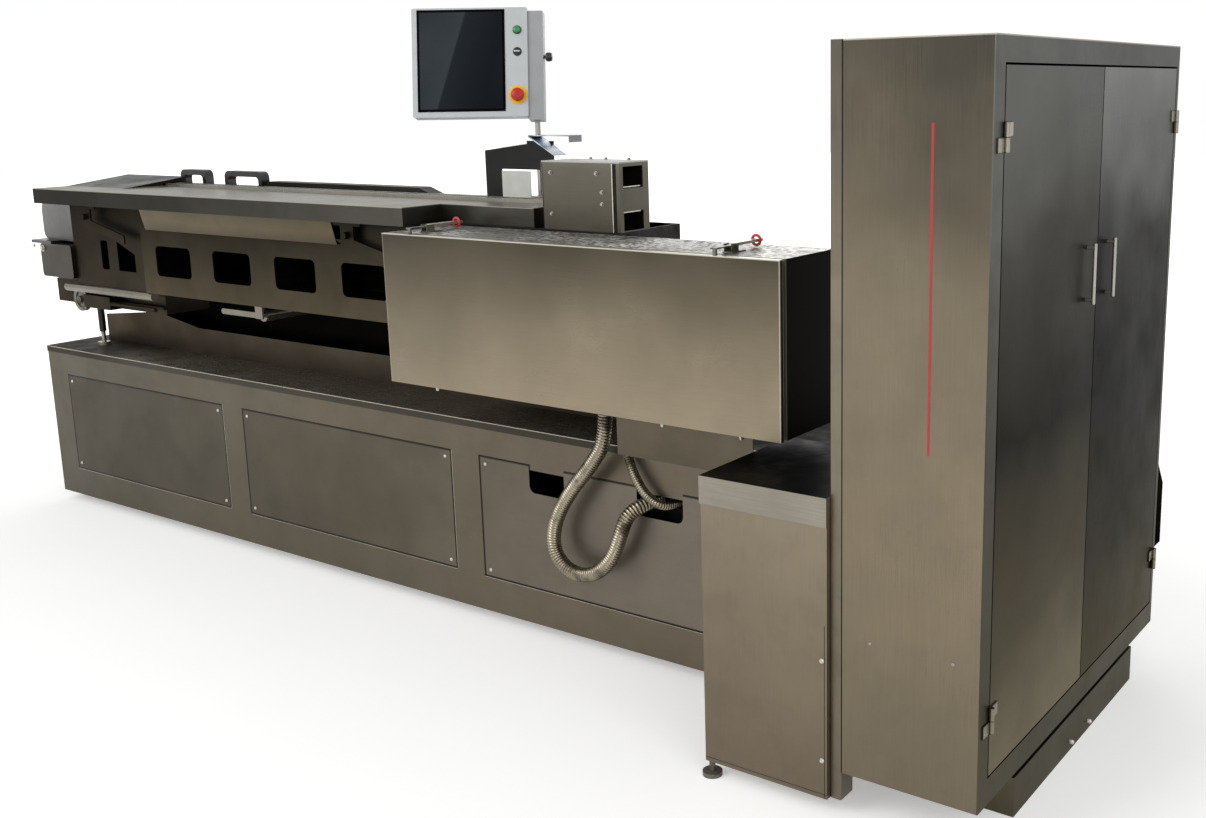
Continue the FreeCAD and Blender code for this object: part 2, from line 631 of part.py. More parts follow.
def make_base():
    panels = (("panel_one_start", "panel_one_wide"), ("panel_two_start", "panel_wide"),
              ("panel_three_start", "panel_wide"))
    face = [("rect", "0", "0", "base_length", "wall_high")]
    ledge = [("rect", "0", "0", "base_length", "wall_high")]
    low = "panel_low - base_clear"
    for start, wide in panels:
        face.append(("rect", f"{start} - panel_gap", f"{low} - panel_gap",
                     f"({wide} + 2 * panel_gap)", "(panel_high + 2 * panel_gap)"))
        ledge.append(("rect", f"{start} + rebate", f"{low} + rebate",
                      f"({wide} - 2 * rebate)", "(panel_high - 2 * rebate)"))
    skin = extrude("base_face", "front", face, "sheet_wall", ("left_end", "base_y", "base_clear"))
    ring = extrude("base_ledge", "front", ledge, "sheet_wall",
                   ("left_end", "base_y + sheet_wall", "base_clear"))
    keep(fuse("base_front_frame_form", skin, ring), "base_front_frame")

    inner = "base_depth - sheet_wall"
    back = [("poly", [
        ("0", "2 * sheet_wall"), ("sheet_wall", "2 * sheet_wall"), ("sheet_wall", inner),
        ("base_length - sheet_wall", inner), ("base_length - sheet_wall", "2 * sheet_wall"),
        ("base_length", "2 * sheet_wall"), ("base_length", "base_depth"), ("0", "base_depth")])]
    walls = extrude("base_walls_form", "floor", back, "wall_high",
                    ("left_end", "base_y", "base_clear"))
    bottom = block("base_bottom", left("sheet_wall"), "base_y + 2 * sheet_wall", "base_clear",
                   "base_length - 2 * sheet_wall", "base_depth - 3 * sheet_wall", "sheet_wall")
    keep(fuse("base_back_wall_form", walls, bottom), "base_back_wall")

    lip_low = "base_height - sheet_wall - base_lip"
    under = "base_height - sheet_wall"
    lip = [("poly", [
        ("-sheet_wall", lip_low), ("0", lip_low), ("0", under), ("base_depth", under),
        ("base_depth", lip_low), ("base_depth + sheet_wall", lip_low),
        ("base_depth + sheet_wall", "base_height"), ("-sheet_wall", "base_height")])]
    keep(extrude("base_top_form", "side", lip, "base_length",
                 ("left_end", "base_y", "0")), "base_top")

    sheets = []
    for index, (start, wide) in enumerate(panels):
        sheets.append(extrude(f"panel_form_{index}", "front",
                              [("rect", "0", "0", wide, "panel_high")], "sheet_wall",
                              (left(start), "base_y", "panel_low")))
    for word in ("one", "two"):
        pocket(sheets[2], f"hose_notch_{word}", "front", [
            ("round", f"notch_{word}_start - panel_three_start", "panel_high - notch_deep",
             f"notch_{word}_wide", "(2 * notch_deep)", "notch_round")], "sheet_wall")
    keep(group("base_panel_set", *sheets), "base_panels")

    rear = [block(f"rear_panel_{index}", left(start), "base_y + base_depth", "panel_low", wide,
                  "sheet_wall", "panel_high") for index, (start, wide) in enumerate(panels)]
    keep(group("rear_panel_set", *rear), "base_rear_panels")

    pan_long = "beam_end - pan_start"
    wall = [("poly", [
        ("0", "0"), (pan_long, "0"), (pan_long, "pan_high"), ("ramp_end - pan_start", "pan_high"),
        ("ramp_peak - pan_start", "ramp_rise"), ("0", "ramp_tip")])]
    trough = [extrude("trough_wall", "front", wall, "sheet_wall",
                      (left("pan_start"), deep("pan_front"), "base_height"))]
    trough.append(block("trough_floor", left("pan_back_start"), deep("pan_front + sheet_wall"),
                        "base_height", "beam_end - pan_back_start", "pan_deep - 2 * sheet_wall",
                        "sheet_wall"))
    trough.append(block("trough_back", left("pan_back_start"),
                        deep("pan_front + pan_deep - sheet_wall"), "base_height",
                        "beam_end - pan_back_start", "sheet_wall", "pan_back_high"))
    keep(fuse("trough_form", *trough), "raised_pan")


def make_levellers():
    """Levelling feet under the base cabinet and under the pedestal."""
    front = deep("base_front + leveller_inset")
    back = deep("base_front + base_depth - leveller_inset")
    corner = deep("-pedestal_proud + leveller_corner")
    spots = [(left(s), t) for t in (front, back)
             for s in ("leveller_inset", "base_length / 3", "2 * base_length / 3",
                       "base_length - leveller_inset")]
    spots.append((left("pedestal_start + leveller_corner"), corner))
    spots.append((left("base_length - leveller_inset"), deep("leveller_inset")))
    feet = []
    for index, (x, y) in enumerate(spots):
        pad = rod(f"leveller_pad_{index}", x, y, "0", "leveller_radius", "leveller_disc")
        stem = rod(f"leveller_stem_{index}", x, y, "0", "leveller_stem", "base_clear")
        feet.append(fuse(f"leveller_{index}", pad, stem))
    keep(group("leveller_set", *feet), "levelling_feet")


# Pedestal, corner posts and electrical cabinet

def make_pedestal():
    wide = "pedestal_wide"
    back = "(base_front - sheet_wall + pedestal_proud)"
    tube = [("rect", "0", "0", wide, back),
            ("rect", "sheet_wall", "sheet_wall", f"({wide} - 2 * sheet_wall)",
             f"({back} - 2 * sheet_wall)")]
    corner = (left("pedestal_start"), deep("-pedestal_proud"), "base_clear")
    walls = extrude("pedestal_walls", "floor", tube, "pedestal_height - sheet_wall - base_clear",
                    corner)
    bottom = block("pedestal_bottom", *corner, wide, back, "sheet_wall")
    keep(fuse("pedestal_form", walls, bottom), "pedestal_body")
    cap_wide = f"({wide} + cap_proud)"
    cap_back = f"({back} + cap_proud)"
    cap = extrude("pedestal_cap_form", "floor", [("rect", "0", "0", cap_wide, cap_back)],
                  "cap_height", (left("pedestal_start - cap_proud"),
                                 deep("-pedestal_proud - cap_proud"),
                                 "pedestal_height - cap_height"))
    pocket(cap, "cap_hollow", "floor",
           [("rect", "cap_proud", "cap_proud", wide, back)], "cap_height - sheet_wall")
    keep(cap, "pedestal_cap")


def make_cabinet():
    posts = []
    for name, y in (("front", deep("0")), ("rear", deep("cab_deep - post_deep"))):
        tube = [("round", "0", "0", "post_wide", "post_deep", "sheet_wall"),
                ("rect", "sheet_wall", "sheet_wall", "(post_wide - 2 * sheet_wall)",
                 "(post_deep - 2 * sheet_wall)")]
        posts.append(extrude(f"{name}_post", "floor", tube, "cab_height - base_clear",
                             ("post_x", y, "base_clear")))
    keep(group("post_set", *posts), "corner_posts")

    inner_x = "cab_wide - sheet_wall"
    far = "cab_deep - sheet_wall"
    walls = [("poly", [
        ("0", "0"), (inner_x, "0"), (inner_x, "sheet_wall"), ("sheet_wall", "sheet_wall"),
        ("sheet_wall", far), (inner_x, far), (inner_x, "cab_deep"), ("0", "cab_deep")])]
    high = "(cab_height - cab_raised)"
    keep(extrude("cabinet_walls_form", "floor", walls, high,
                 ("cab_x", "front_line", "cab_raised")), "cabinet_walls")

    frame = [("rect", "0", "0", "cab_deep", high),
             ("rect", "stile", "sill", "(cab_deep - stile - rear_stile)",
              f"({high} - sill - header)")]
    extrude("door_frame_form", "side", frame, "sheet_wall",
            ("door_x - sheet_wall", "front_line", "cab_raised"))

    lids = [block(f"cabinet_{name}", "cab_x + sheet_wall", deep("sheet_wall"), z,
                  "cab_wide - 2 * sheet_wall", "cab_deep - 2 * sheet_wall", "sheet_wall")
            for name, z in (("floor", "cab_raised"), ("roof", "cab_height - sheet_wall"))]
    keep(group("cabinet_lids", *lids), "cabinet_roof_and_floor")

    long = "(cab_deep - plinth_front - plinth_back)"
    corner = ("cab_x", deep("plinth_front"), "0")
    skin = extrude("plinth_skin", "floor", [
        ("rect", "0", "0", "cab_wide", long),
        ("rect", "sheet_wall", "sheet_wall", "(cab_wide - 2 * sheet_wall)",
         f"({long} - 2 * sheet_wall)")], "plinth_high", corner)
    lid = block("plinth_lid", "cab_x", deep("plinth_front"), "plinth_high - sheet_wall",
                "cab_wide", long, "sheet_wall")
    neck = block("plinth_neck_form", "cab_x + plinth_neck", deep("plinth_front + plinth_neck"),
                 "plinth_high", "cab_wide - 2 * plinth_neck", f"{long} - 2 * plinth_neck",
                 "cab_raised - plinth_high")
    keep(fuse("plinth_form", skin, lid, neck), "cabinet_plinth")

    hood = [("poly", [("0", "0"), ("fan_reach", "0"), ("fan_reach", "fan_high - fan_slope"),
                      ("0", "fan_high")])]
    keep(extrude("fan_cowl_form", "side", hood, "fan_wide",
                 ("door_x - fan_edge - fan_wide", deep("cab_deep"), "fan_low")), "fan_cowl")


def make_doors():
    door_x = "door_x - door_thick"
    sides = (("front", deep("stile + door_gap"), "pivot_front_y", 1),
             ("rear", deep("stile + 2 * door_gap + front_door_wide"), "pivot_rear_y", -1))
    cabinet_halves = []
    for side, y, pivot_y, way in sides:
        wide = f"{side}_door_wide"
        leaf = extrude(f"{side}_door_form", "side",
                       [("rect", "0", "0", wide, "door_high")], "door_thick",
                       (door_x, y, "door_low"))
        pocket(leaf, f"{side}_door_hollow", "side", [
            ("rect", "door_fold", "door_fold", f"({wide} - 2 * door_fold)",
             "(door_high - 2 * door_fold)")], "door_thick - sheet_wall")
        handle_y = f"{y} + {wide} - handle_inset" if way > 0 else f"{y} + handle_inset"
        reach = "(handle_reach - handle_bar / 2)"
        bar = rod(f"{side}_grip", f"door_x + {reach}", handle_y, "handle_low",
                  "handle_bar / 2", "handle_long")
        feet = [rod(f"{side}_grip_foot_{end}", "door_x", handle_y, z, "handle_bar / 2", reach, "x")
                for end, z in (("low", "handle_low + handle_bar"),
                               ("high", "handle_low + handle_long - handle_bar"))]
        keep(fuse(f"{side}_handle_form", bar, *feet), f"handle_{side}")

        frame_leaf = "hinge_leaf" if way > 0 else "hinge_short"
        door_halves = []
        for level in ("top", "low"):
            tag = f"{side}_{level}"
            low = f"hinge_{level}_z"
            half = "(hinge_high / 2)"
            door_halves.append(hinge_half(tag + "_door", pivot_y, f"{low} + {half} + seat_gap",
                                          f"({half} - seat_gap)", way, "hinge_leaf", "bore"))
            cabinet_halves.append(hinge_half(tag + "_frame", pivot_y, low, half, -way,
                                             frame_leaf, "pin"))
        keep(fuse(f"{side}_door_set", leaf, *door_halves), f"door_{side}")
    frame = doc.getObject("door_frame_form")
    keep(fuse("door_frame_set", frame, *cabinet_halves), "door_frame")


def hinge_half(tag, pivot_y, low, high, way, wide, kind):
    """One half of a lift-off hinge: a knuckle with its leaf, and a pin or a bore."""
    knuckle = rod(tag + "_knuckle", "pivot_x", pivot_y, low, "hinge_radius", high)
    leaf_y = f"{pivot_y} - {wide}" if way < 0 else pivot_y
    leaf = block(tag + "_leaf", "door_x", leaf_y, low, "sheet_wall", wide, high)
    solid = fuse(tag + "_blank", knuckle, leaf)
    if kind == "pin":
        pin = rod(tag + "_pin", "pivot_x", pivot_y, low, "hinge_pin",
                  f"2 * {high} - sheet_wall")
        return fuse(tag, solid, pin)
    bore = rod(tag + "_bore", "pivot_x", pivot_y, f"{low} - sheet_wall",
               "hinge_pin + hinge_play", high)
    return cut(tag, solid, bore)


# Beam and table

def make_beam():
    high = "beam_high"
    front = [("rect", "0", "0", "(drive_start - seat_gap - beam_start)", high)]
    front += [("round", f"window_in + {step} * window_pitch", "window_rise", "window_wide",
               "window_high", "window_round") for step in range(4)]
    keep(extrude("beam_front_form", "front", front, "beam_plate",
                 (left("beam_start"), deep("beam_front"), "beam_low")), "beam_front_plate")
    keep(block("beam_back_form", left("tail_start"), deep("beam_back - beam_plate"), "beam_low",
               "beam_end - tail_start", "beam_plate", high), "beam_back_plate")

    last = "drive_start - seat_gap - beam_plate"
    inner = "drive_back + seat_gap"
    crosses = [block("inner_plate", left(last), deep(inner), "beam_low",
                     "beam_end - drive_start + beam_plate + seat_gap", "beam_plate", high)]
    inside = "beam_back - beam_front - 2 * beam_plate"
    for index, s in enumerate(("beam_start", "cross_two", last)):
        wide = f"({inner} - beam_front - beam_plate)" if s == last else inside
        crosses.append(block(f"cross_plate_{index}", left(s), deep("beam_front + beam_plate"),
                             "beam_low", "beam_plate", wide, high))
    crosses.append(block("cross_plate_end", left("beam_end - beam_plate"),
                         deep(f"{inner} + beam_plate"), "beam_low", "beam_plate",
                         f"beam_back - 2 * beam_plate - ({inner})", high))
    crosses.append(block("cross_plate_tail", left("tail_start"), deep("tail_front + beam_plate"),
                         "beam_low", "beam_plate", "beam_back - tail_front - 2 * beam_plate",
                         high))
    near = "tail_front + 2 * beam_plate"
    far = "beam_back - 2 * beam_plate"
    sole = [("poly", [
        ("tail_start", near), (last, near), (last, f"{inner} + beam_plate"),
        ("beam_end - beam_plate", f"{inner} + beam_plate"), ("beam_end - beam_plate", far),
        ("tail_start", far)])]
    crosses.append(extrude("beam_sole", "floor", sole, "sheet_wall",
                           ("left_end", "front_line", "beam_low + beam_plate")))
    keep(fuse("cross_plate_set", *crosses), "beam_cross_plates")

    hatch_end = "hatch_start + hatch_wide - tail_start"
    sill_z = "window_rise"
    tail = [("rect", "0", "0", "(beam_start - tail_start)", high),
            ("round", "slot_start - tail_start", sill_z, "slot_wide", "window_high",
             "slot_round"),
            ("poly", [("hatch_start - tail_start", sill_z), (hatch_end, sill_z),
                      (hatch_end, f"{sill_z} + window_high - hatch_slant"),
                      ("hatch_start - tail_start", f"{sill_z} + window_high")])]
    keep(extrude("tail_plate_form", "front", tail, "beam_plate",
                 (left("tail_start"), deep("tail_front"), "beam_low")), "tail_plate")

    rear_row = "table_back - foot_inset"
    spots = (("foot_one", "tail_beam_front + tail_beam_deep - tail_foot_in",
              "beam_low - tail_beam_high"),
             ("foot_two", rear_row, "beam_low"), ("foot_three", rear_row, "beam_low"),
             ("beam_end - foot_end", rear_row, "beam_low"))
    feet = []
    for index, (s, t, top) in enumerate(spots):
        plate = rod(f"foot_disc_{index}", left(s), deep(t), "base_height", "foot_radius",
                    "foot_disc")
        stem = rod(f"foot_stem_{index}", left(s), deep(t), "base_height", "stem_radius",
                   f"{top} - base_height")
        nut = rod(f"foot_sleeve_{index}", left(s), deep(t), "base_height + stem_bare",
                  "sleeve_radius", f"{top} - base_height - stem_bare")
        feet.append(fuse(f"foot_{index}", plate, stem, nut))
    keep(group("feet_set", *feet), "beam_feet")


def make_table():
    wide = "(table_wide_end - table_start)"
    long = "(table_end - table_start)"
    back = "(table_back - table_front)"
    step = "(table_step - table_front)"
    outline = [("poly", [("0", "0"), (wide, "0"), (wide, step), (long, step), (long, back),
                         ("0", back)])]
    hollow = [("poly", [
        ("sheet_wall", "sheet_wall"), (f"{wide} - sheet_wall", "sheet_wall"),
        (f"{wide} - sheet_wall", f"{step} + sheet_wall"),
        (f"{long} - sheet_wall", f"{step} + sheet_wall"),
        (f"{long} - sheet_wall", f"{back} - sheet_wall"),
        ("sheet_wall", f"{back} - sheet_wall")])]
    top = extrude("table_form", "floor", outline, "table_skirt",
                  (left("table_start"), deep("table_front"), "skirt_low"))
    pocket(top, "table_hollow", "floor", hollow, "table_skirt - sheet_wall")
    keep(top, "table_top")

    hood = [("poly", [("0", "0"), ("hood_deep", "0"), ("hood_deep", "hood_high")])]
    hood_form = extrude("hood_form", "side", hood, "hood_long",
                        (left("table_start + hood_in"), deep("hood_front"), "table_top_z"))
    cover = [("poly", [("0", "0"), ("strip_long", "0"),
                       ("strip_long - strip_slope", "strip_high"),
                       ("strip_bevel", "strip_high")])]
    cover_form = extrude("strip_form", "front", cover, "strip_deep",
                         (left("strip_start"), deep("table_back - strip_inset"), "table_top_z"))
    keep(group("table_cover_set", hood_form, cover_form), "table_covers")

    arches = []
    for index, s in enumerate(("arch_one", "arch_two")):
        wide = f"{s}_wide"
        outer = [("round", "0", "0", wide, "(arch_high + arch_round)", "arch_round")]
        arch = extrude(f"arch_{index}", "front", outer, "arch_deep",
                       (left(s), deep("table_back - arch_inset"), "table_top_z - arch_round"))
        pocket(arch, f"arch_mouth_{index}", "front", [
            ("round", "arch_bar", "-arch_round", f"({wide} - 2 * arch_bar)",
             "(arch_high + 2 * arch_round - arch_bar)", "(arch_round - arch_bar / 2)")],
            "arch_deep")
        pocket(arch, f"arch_trim_{index}", "front", [
            ("rect", "-arch_bar", "-arch_round", f"({wide} + 2 * arch_bar)",
             "(2 * arch_round)")], "arch_deep")
        arches.append(arch)
    keep(group("arch_set", *arches), "lift_handles")

    rails = []
    for index in range(2):
        rails.append(block(f"rail_{index}", left("rail_start"),
                           deep(f"rail_front + {index} * rail_pitch"), "table_top_z",
                           "table_end - rail_start", "rail_wide", "rail_high"))
    keep(group("rail_set", *rails), "guide_rails")

    gutter = [("poly", [
        ("table_front", "skirt_low"), ("table_front + sheet_wall", "skirt_low"),
        ("gutter_back", "gutter_low + sheet_wall"), ("beam_front", "gutter_low + sheet_wall"),
        ("beam_front", "gutter_low"), ("gutter_back - sheet_wall", "gutter_low")])]
    keep(extrude("gutter_form", "side", gutter, "gutter_end - gutter_start",
                 (left("gutter_start"), "front_line", "0")), "deflector")

    clamps = []
    arm_top = "-clamp_block + beam_plate"
    for index, s in enumerate(("clamp_one", "drive_start - clamp_margin")):
        shape = [("poly", [
            ("-clamp_wide", "0"), ("clamp_wide", "0"), ("clamp_wide", "-clamp_rail"),
            ("clamp_half", "-clamp_rail"), ("clamp_half", arm_top),
            ("clamp_arm", f"{arm_top} - clamp_fall"),
            ("clamp_arm", f"{arm_top} - clamp_fall - clamp_arm_high"),
            ("0", f"{arm_top} - clamp_arm_high"), ("-clamp_nose", arm_top),
            ("-clamp_half", arm_top), ("-clamp_half", "-clamp_rail"),
            ("-clamp_wide", "-clamp_rail")])]
        plate = extrude(f"clamp_plate_{index}", "front", shape, "beam_plate",
                        (left(s), deep("table_front + sheet_wall"), "skirt_low"))
        knob = rod(f"clamp_knob_{index}", left(s),
                   deep("table_front + sheet_wall - clamp_knob_reach"),
                   "skirt_low - clamp_knob_drop", "clamp_knob", "clamp_knob_reach", "y")
        clamps.append(fuse(f"skirt_clamp_{index}", plate, knob))
    keep(group("clamp_set", *clamps), "skirt_clamps")


def make_tail():
    box = extrude("tail_box_form", "front", [
        ("round", "0", "0", "tail_box_long", "tail_box_high", "tail_box_round")],
        "tail_box_deep", (left("tail_box_start"), deep("beam_front"), "tail_box_low"))
    flange = block("tail_flange", left("tail_box_start - flange_out"), deep("beam_front"),
                   "tail_box_low + tail_box_high", "flange_long", "tail_box_deep", "flange_high")
    flange_top = "tail_box_low + tail_box_high + flange_high"
    bracket = extrude("tail_bracket_form", "front", [
        ("round", "0", "0", "(tail_box_long + tail_bracket_out)", f"(skirt_low - ({flange_top}))",
         "tail_bracket_round")], "tail_bracket_deep",
        (left("tail_box_start - tail_bracket_out"), deep("beam_front + tail_bracket_set"),
         flange_top))
    keep(fuse("tail_box_set", box, flange, bracket), "tail_box")
    keep(rod("tail_rail_form", left("tail_rail_start"), deep("tail_front + seat_gap"),
             "beam_low - tail_rail_radius", "tail_rail_radius", "tail_rail_long", "x"), "tail_rail")

    rim = rod("wheel_rim", left("wheel_middle"), deep("wheel_front"), "wheel_z", "wheel_radius",
              "wheel_thick", "y")
    dish = rod("wheel_recess", left("wheel_middle"), deep("wheel_front"), "wheel_z",
               "wheel_dish", "wheel_dish_deep", "y")
    hub = rod("wheel_shaft", left("wheel_middle"), deep("wheel_front - wheel_nose"), "wheel_z",
              "shaft_radius", "tail_beam_front - wheel_front + wheel_nose", "y")
    keep(fuse("wheel_form", cut("wheel_disc", rim, dish), hub), "tail_wheel")

    member = block("tail_member", left("tail_beam_start"), deep("tail_beam_front"),
                   "beam_low - tail_beam_high", "beam_start + tail_beam_lap - tail_beam_start",
                   "tail_beam_deep", "tail_beam_high")
    gear_low = "beam_low - tail_beam_high"
    gear = block("gear_case", left("gear_start"), deep("tail_beam_front - gear_deep"), gear_low,
                 "gear_long", "gear_deep", "gear_high")
    links = [rod(f"link_rod_{index}", left("gear_start + gear_long"),
                 deep(f"tail_beam_front - gear_deep / 2 - {index} * link_pitch + link_pitch / 2"),
                 f"{gear_low} + gear_high / 2", "link_radius", "link_long", "x")
             for index in range(2)]
    keep(fuse("tail_beam_form", member, gear, *links), "tail_beam")

    inner = "beam_front + beam_plate"
    span = "(beam_back - beam_front - 2 * beam_plate)"
    roller = rod("roller_drum", left("roller_middle"),
                 deep(f"{inner} + beam_plate + roller_side_gap"), "roller_z", "roller_radius",
                 f"{span} - 2 * beam_plate - 2 * roller_side_gap", "y")
    shaft = rod("roller_shaft", left("roller_middle"), deep(inner), "roller_z", "stem", span, "y")
    hangers = [block(f"roller_hanger_{index}", left("roller_middle - hanger_wide / 2"), deep(t),
                     "roller_z - roller_radius / 2", "hanger_wide", "beam_plate",
                     "beam_low + hanger_rise - roller_z + roller_radius / 2")
               for index, t in enumerate((inner, "beam_back - 2 * beam_plate"))]
    arm = extrude("roller_arm_form", "front", [
        ("round", "0", "0", "roller_arm", "(2 * stem)", "(stem - seat_gap)")], "beam_plate",
        (left("roller_middle - roller_arm + stem"), deep(inner), "roller_z - stem"))
    keep(fuse("roller_set", roller, shaft, arm, *hangers), "idler_roller")


# Drive box, its support and the small housing

def make_drive():
    high = "(drive_top - drive_low)"
    cover = extrude("cover_form", "front", [("rect", "0", "0", "drive_long", high)],
                    "cover_thick", (left("drive_start"), deep("drive_front"), "drive_low"))
    keep(cover, "drive_cover")
    body_front = "drive_front + cover_thick + cover_seam"
    neck = block("drive_neck", left("drive_start + seam_inset"),
                 deep("drive_front + cover_thick"), "drive_low + seam_inset",
                 "drive_long - 2 * seam_inset", "cover_seam", f"{high} - 2 * seam_inset")
    body = block("drive_hull", left("drive_start"), deep(body_front), "drive_low", "drive_long",
                 f"drive_back - ({body_front})", high)
    keep(fuse("drive_body_form", neck, body), "drive_body")

    sides = (("left", left("drive_start + latch_in")), ("right", left("drive_end - latch_out")))
    bases = []
    for side, x in sides:
        bases.append(latch_base(side, x))
        keep(latch_lever(side, x), f"latch_lever_{side}")
    keep(group("latch_base_set", *bases), "latch_bases")

    low = "bracket_low"
    profile = [("poly", [
        ("bracket_front", low), ("drive_back", low), ("drive_back", f"{low} + sheet_wall"),
        ("bracket_front + sheet_wall", f"{low} + sheet_wall"),
        ("bracket_front + sheet_wall", "drive_low - sheet_wall"),
        ("drive_back", "drive_low - sheet_wall"), ("drive_back", "drive_low"),
        ("bracket_front", "drive_low")])]
    channel = extrude("bracket_channel", "side", profile, "bracket_long",
                      (left("bracket_start"), "front_line", "0"))
    leg_front = "base_front + bracket_leg_back"
    legs = [block(f"bracket_leg_{index}", left(s), deep(leg_front), "base_height",
                  "bracket_leg", f"drive_back - ({leg_front})", "bracket_rise + sheet_wall")
            for index, s in enumerate(("bracket_start + bracket_leg_in",
                                       "bracket_end - bracket_leg_in - bracket_leg"))]
    keep(fuse("bracket_form", channel, *legs), "drive_support")


def latch_base(side, x):
    """A toggle latch's fixed half: plate, two ears, pivot pin and the arm over the cover."""
    plate = block(f"latch_plate_{side}", f"{x} - latch_wide / 2", deep("latch_front"),
                  "drive_top", "latch_wide", "latch_deep", "sheet_wall")
    ears = [block(f"latch_ear_{side}_{index}", f"{x} + {edge}", deep("latch_front"), "drive_top",
                  "sheet_wall", "latch_ear_deep", "latch_pivot + latch_ear")
            for index, edge in enumerate(("latch_ear_out", "(-latch_ear_out - sheet_wall)"))]
    pin_x = f"{x} - latch_ear_out - sheet_wall"
    across = "2 * latch_ear_out + 2 * sheet_wall"
    pin = rod(f"latch_pin_{side}", pin_x, deep("latch_front + latch_ear_deep - latch_ear"),
              "latch_z", "hinge_pin", across, "x")
    spindle_y = "drive_front + cover_thick / 2"
    arm = block(f"latch_nose_{side}", f"{x} - latch_ear_out", deep(f"{spindle_y} - latch_nose"),
                "latch_z", "2 * latch_ear_out",
                f"latch_front + latch_ear - ({spindle_y} - latch_nose)", "latch_ear / 2")
    spindle = rod(f"latch_spindle_{side}", x, deep(spindle_y), "drive_top + seat_gap",
                  "latch_nose", "latch_pivot", "z")
    return fuse(f"latch_base_{side}", plate, *ears, pin, arm, spindle)


def latch_lever(side, x):
    """The lever that turns on that pin, lying back along the box's top when closed."""
    start = f"{x} - latch_ear_out + seat_gap"
    thick = "(2 * latch_ear_out - 2 * seat_gap)"
    pivot_y = deep("latch_front + latch_ear_deep - latch_ear")
    eye = rod(f"latch_eye_{side}", start, pivot_y, "latch_z", "latch_ear", thick, "x")
    arm = block(f"latch_arm_{side}", start, pivot_y, "latch_z", thick, "latch_arm",
                "latch_ear")
    bore = rod(f"latch_bore_{side}", start, pivot_y, "latch_z", "hinge_pin + hinge_play",
               thick, "x")
    return cut(f"latch_lever_form_{side}", fuse(f"latch_blank_{side}", eye, arm), bore)


def make_housing():
    wide = "housing_wide"
    high = "(housing_top - skirt_low)"
    plan = [("poly", [
        ("0", "0"), (wide, "0"), (wide, "sheet_wall"), ("sheet_wall", "sheet_wall"),
        ("sheet_wall", "housing_deep - sheet_wall"), (wide, "housing_deep - sheet_wall"),
        (wide, "housing_deep"), ("0", "housing_deep")])]
    walls = extrude("housing_walls", "floor", plan, f"{high} - sheet_wall",
                    (left("housing_start"), deep("housing_front"), "skirt_low"))
    roof = block("housing_roof", left("housing_start"), deep("housing_front"),
                 "housing_top - sheet_wall", wide, "housing_deep", "sheet_wall")
    keep(fuse("housing_form", walls, roof), "transfer_housing")
    inside = "(housing_deep - frame_bar - frame_slim)"
    side = [("rect", "0", "0", "housing_deep", high),
            ("rect", "frame_slim", "frame_edge", inside,
             f"({high} - frame_edge - frame_top - frame_window - frame_cross)"),
            ("rect", "frame_slim", f"{high} - frame_top - frame_window", inside, "frame_window")]
    keep(extrude("housing_frame_form", "side", side, "beam_plate",
                 (left("housing_start + housing_wide"), deep("housing_front"), "skirt_low")),
         "housing_side_frame")


def make_guard():
    shape = [("poly", [
        ("0", "0"), ("guard_wide", "0"), ("guard_wide", "guard_tip"),
        ("guard_wide - guard_peak", "guard_high"), ("0", "guard_shoulder")])]
    plate = extrude("guard_plate", "front", shape, "sheet_wall",
                    (left("guard_start"), deep("guard_plane"), "guard_low"))
    leg = block("guard_leg_form", left("guard_start"), deep("guard_plane"), "table_top_z",
                "guard_leg", "sheet_wall", "guard_rise + sheet_wall")
    run = "slide_long"
    head = "(guard_high + slide_lift)"
    slide = [("poly", [
        ("0", head), (run, f"{head} - slide_fall"), (run, f"{head} - slide_fall + sheet_wall"),
        ("sheet_wall", f"{head} + sheet_wall"), ("wing_long", f"{head} + sheet_wall"),
        ("wing_long", f"{head} - wing_lip"), ("wing_long + sheet_wall", f"{head} - wing_lip"),
        ("wing_long + sheet_wall", f"{head} + 2 * sheet_wall"), ("0", f"{head} + 2 * sheet_wall")])]
    chute = extrude("slide_form", "front", slide, "slide_deep",
                    (left("guard_start + guard_wide + slide_in"),
                     deep("guard_plane - sheet_wall - slide_deep"), "guard_low"))
    stay = block("slide_stay", left("guard_start + guard_wide - guard_peak"),
                 deep("guard_plane - sheet_wall"), "guard_low + guard_tip",
                 "guard_peak + slide_in + slide_long / 2", "sheet_wall",
                 "guard_high + slide_lift - guard_tip - slide_fall / 4")
    keep(fuse("guard_form", plate, leg, stay), "chute_guard")
    keep(chute, "infeed_slide")

    splash = block("splash_form", left("guard_start + guard_leg + splash_in"),
                   "pivot_hmi_y - post_foot_deep / 2 - seat_gap - sheet_wall", "table_top_z",
                   "splash_wide", "sheet_wall", "splash_high")
    keep(splash, "splash_plate")

    foot = block("post_base", "pivot_hmi_x - post_foot_wide / 2",
                 "pivot_hmi_y - post_foot_deep / 2", "table_top_z", "post_foot_wide",
                 "post_foot_deep", "post_foot_high")
    post = rod("post_form", "pivot_hmi_x", "pivot_hmi_y", "table_top_z + post_foot_high",
               "hmi_post", "hmi_rise - post_foot_high")
    keep(fuse("post_set", foot, post), "panel_post")


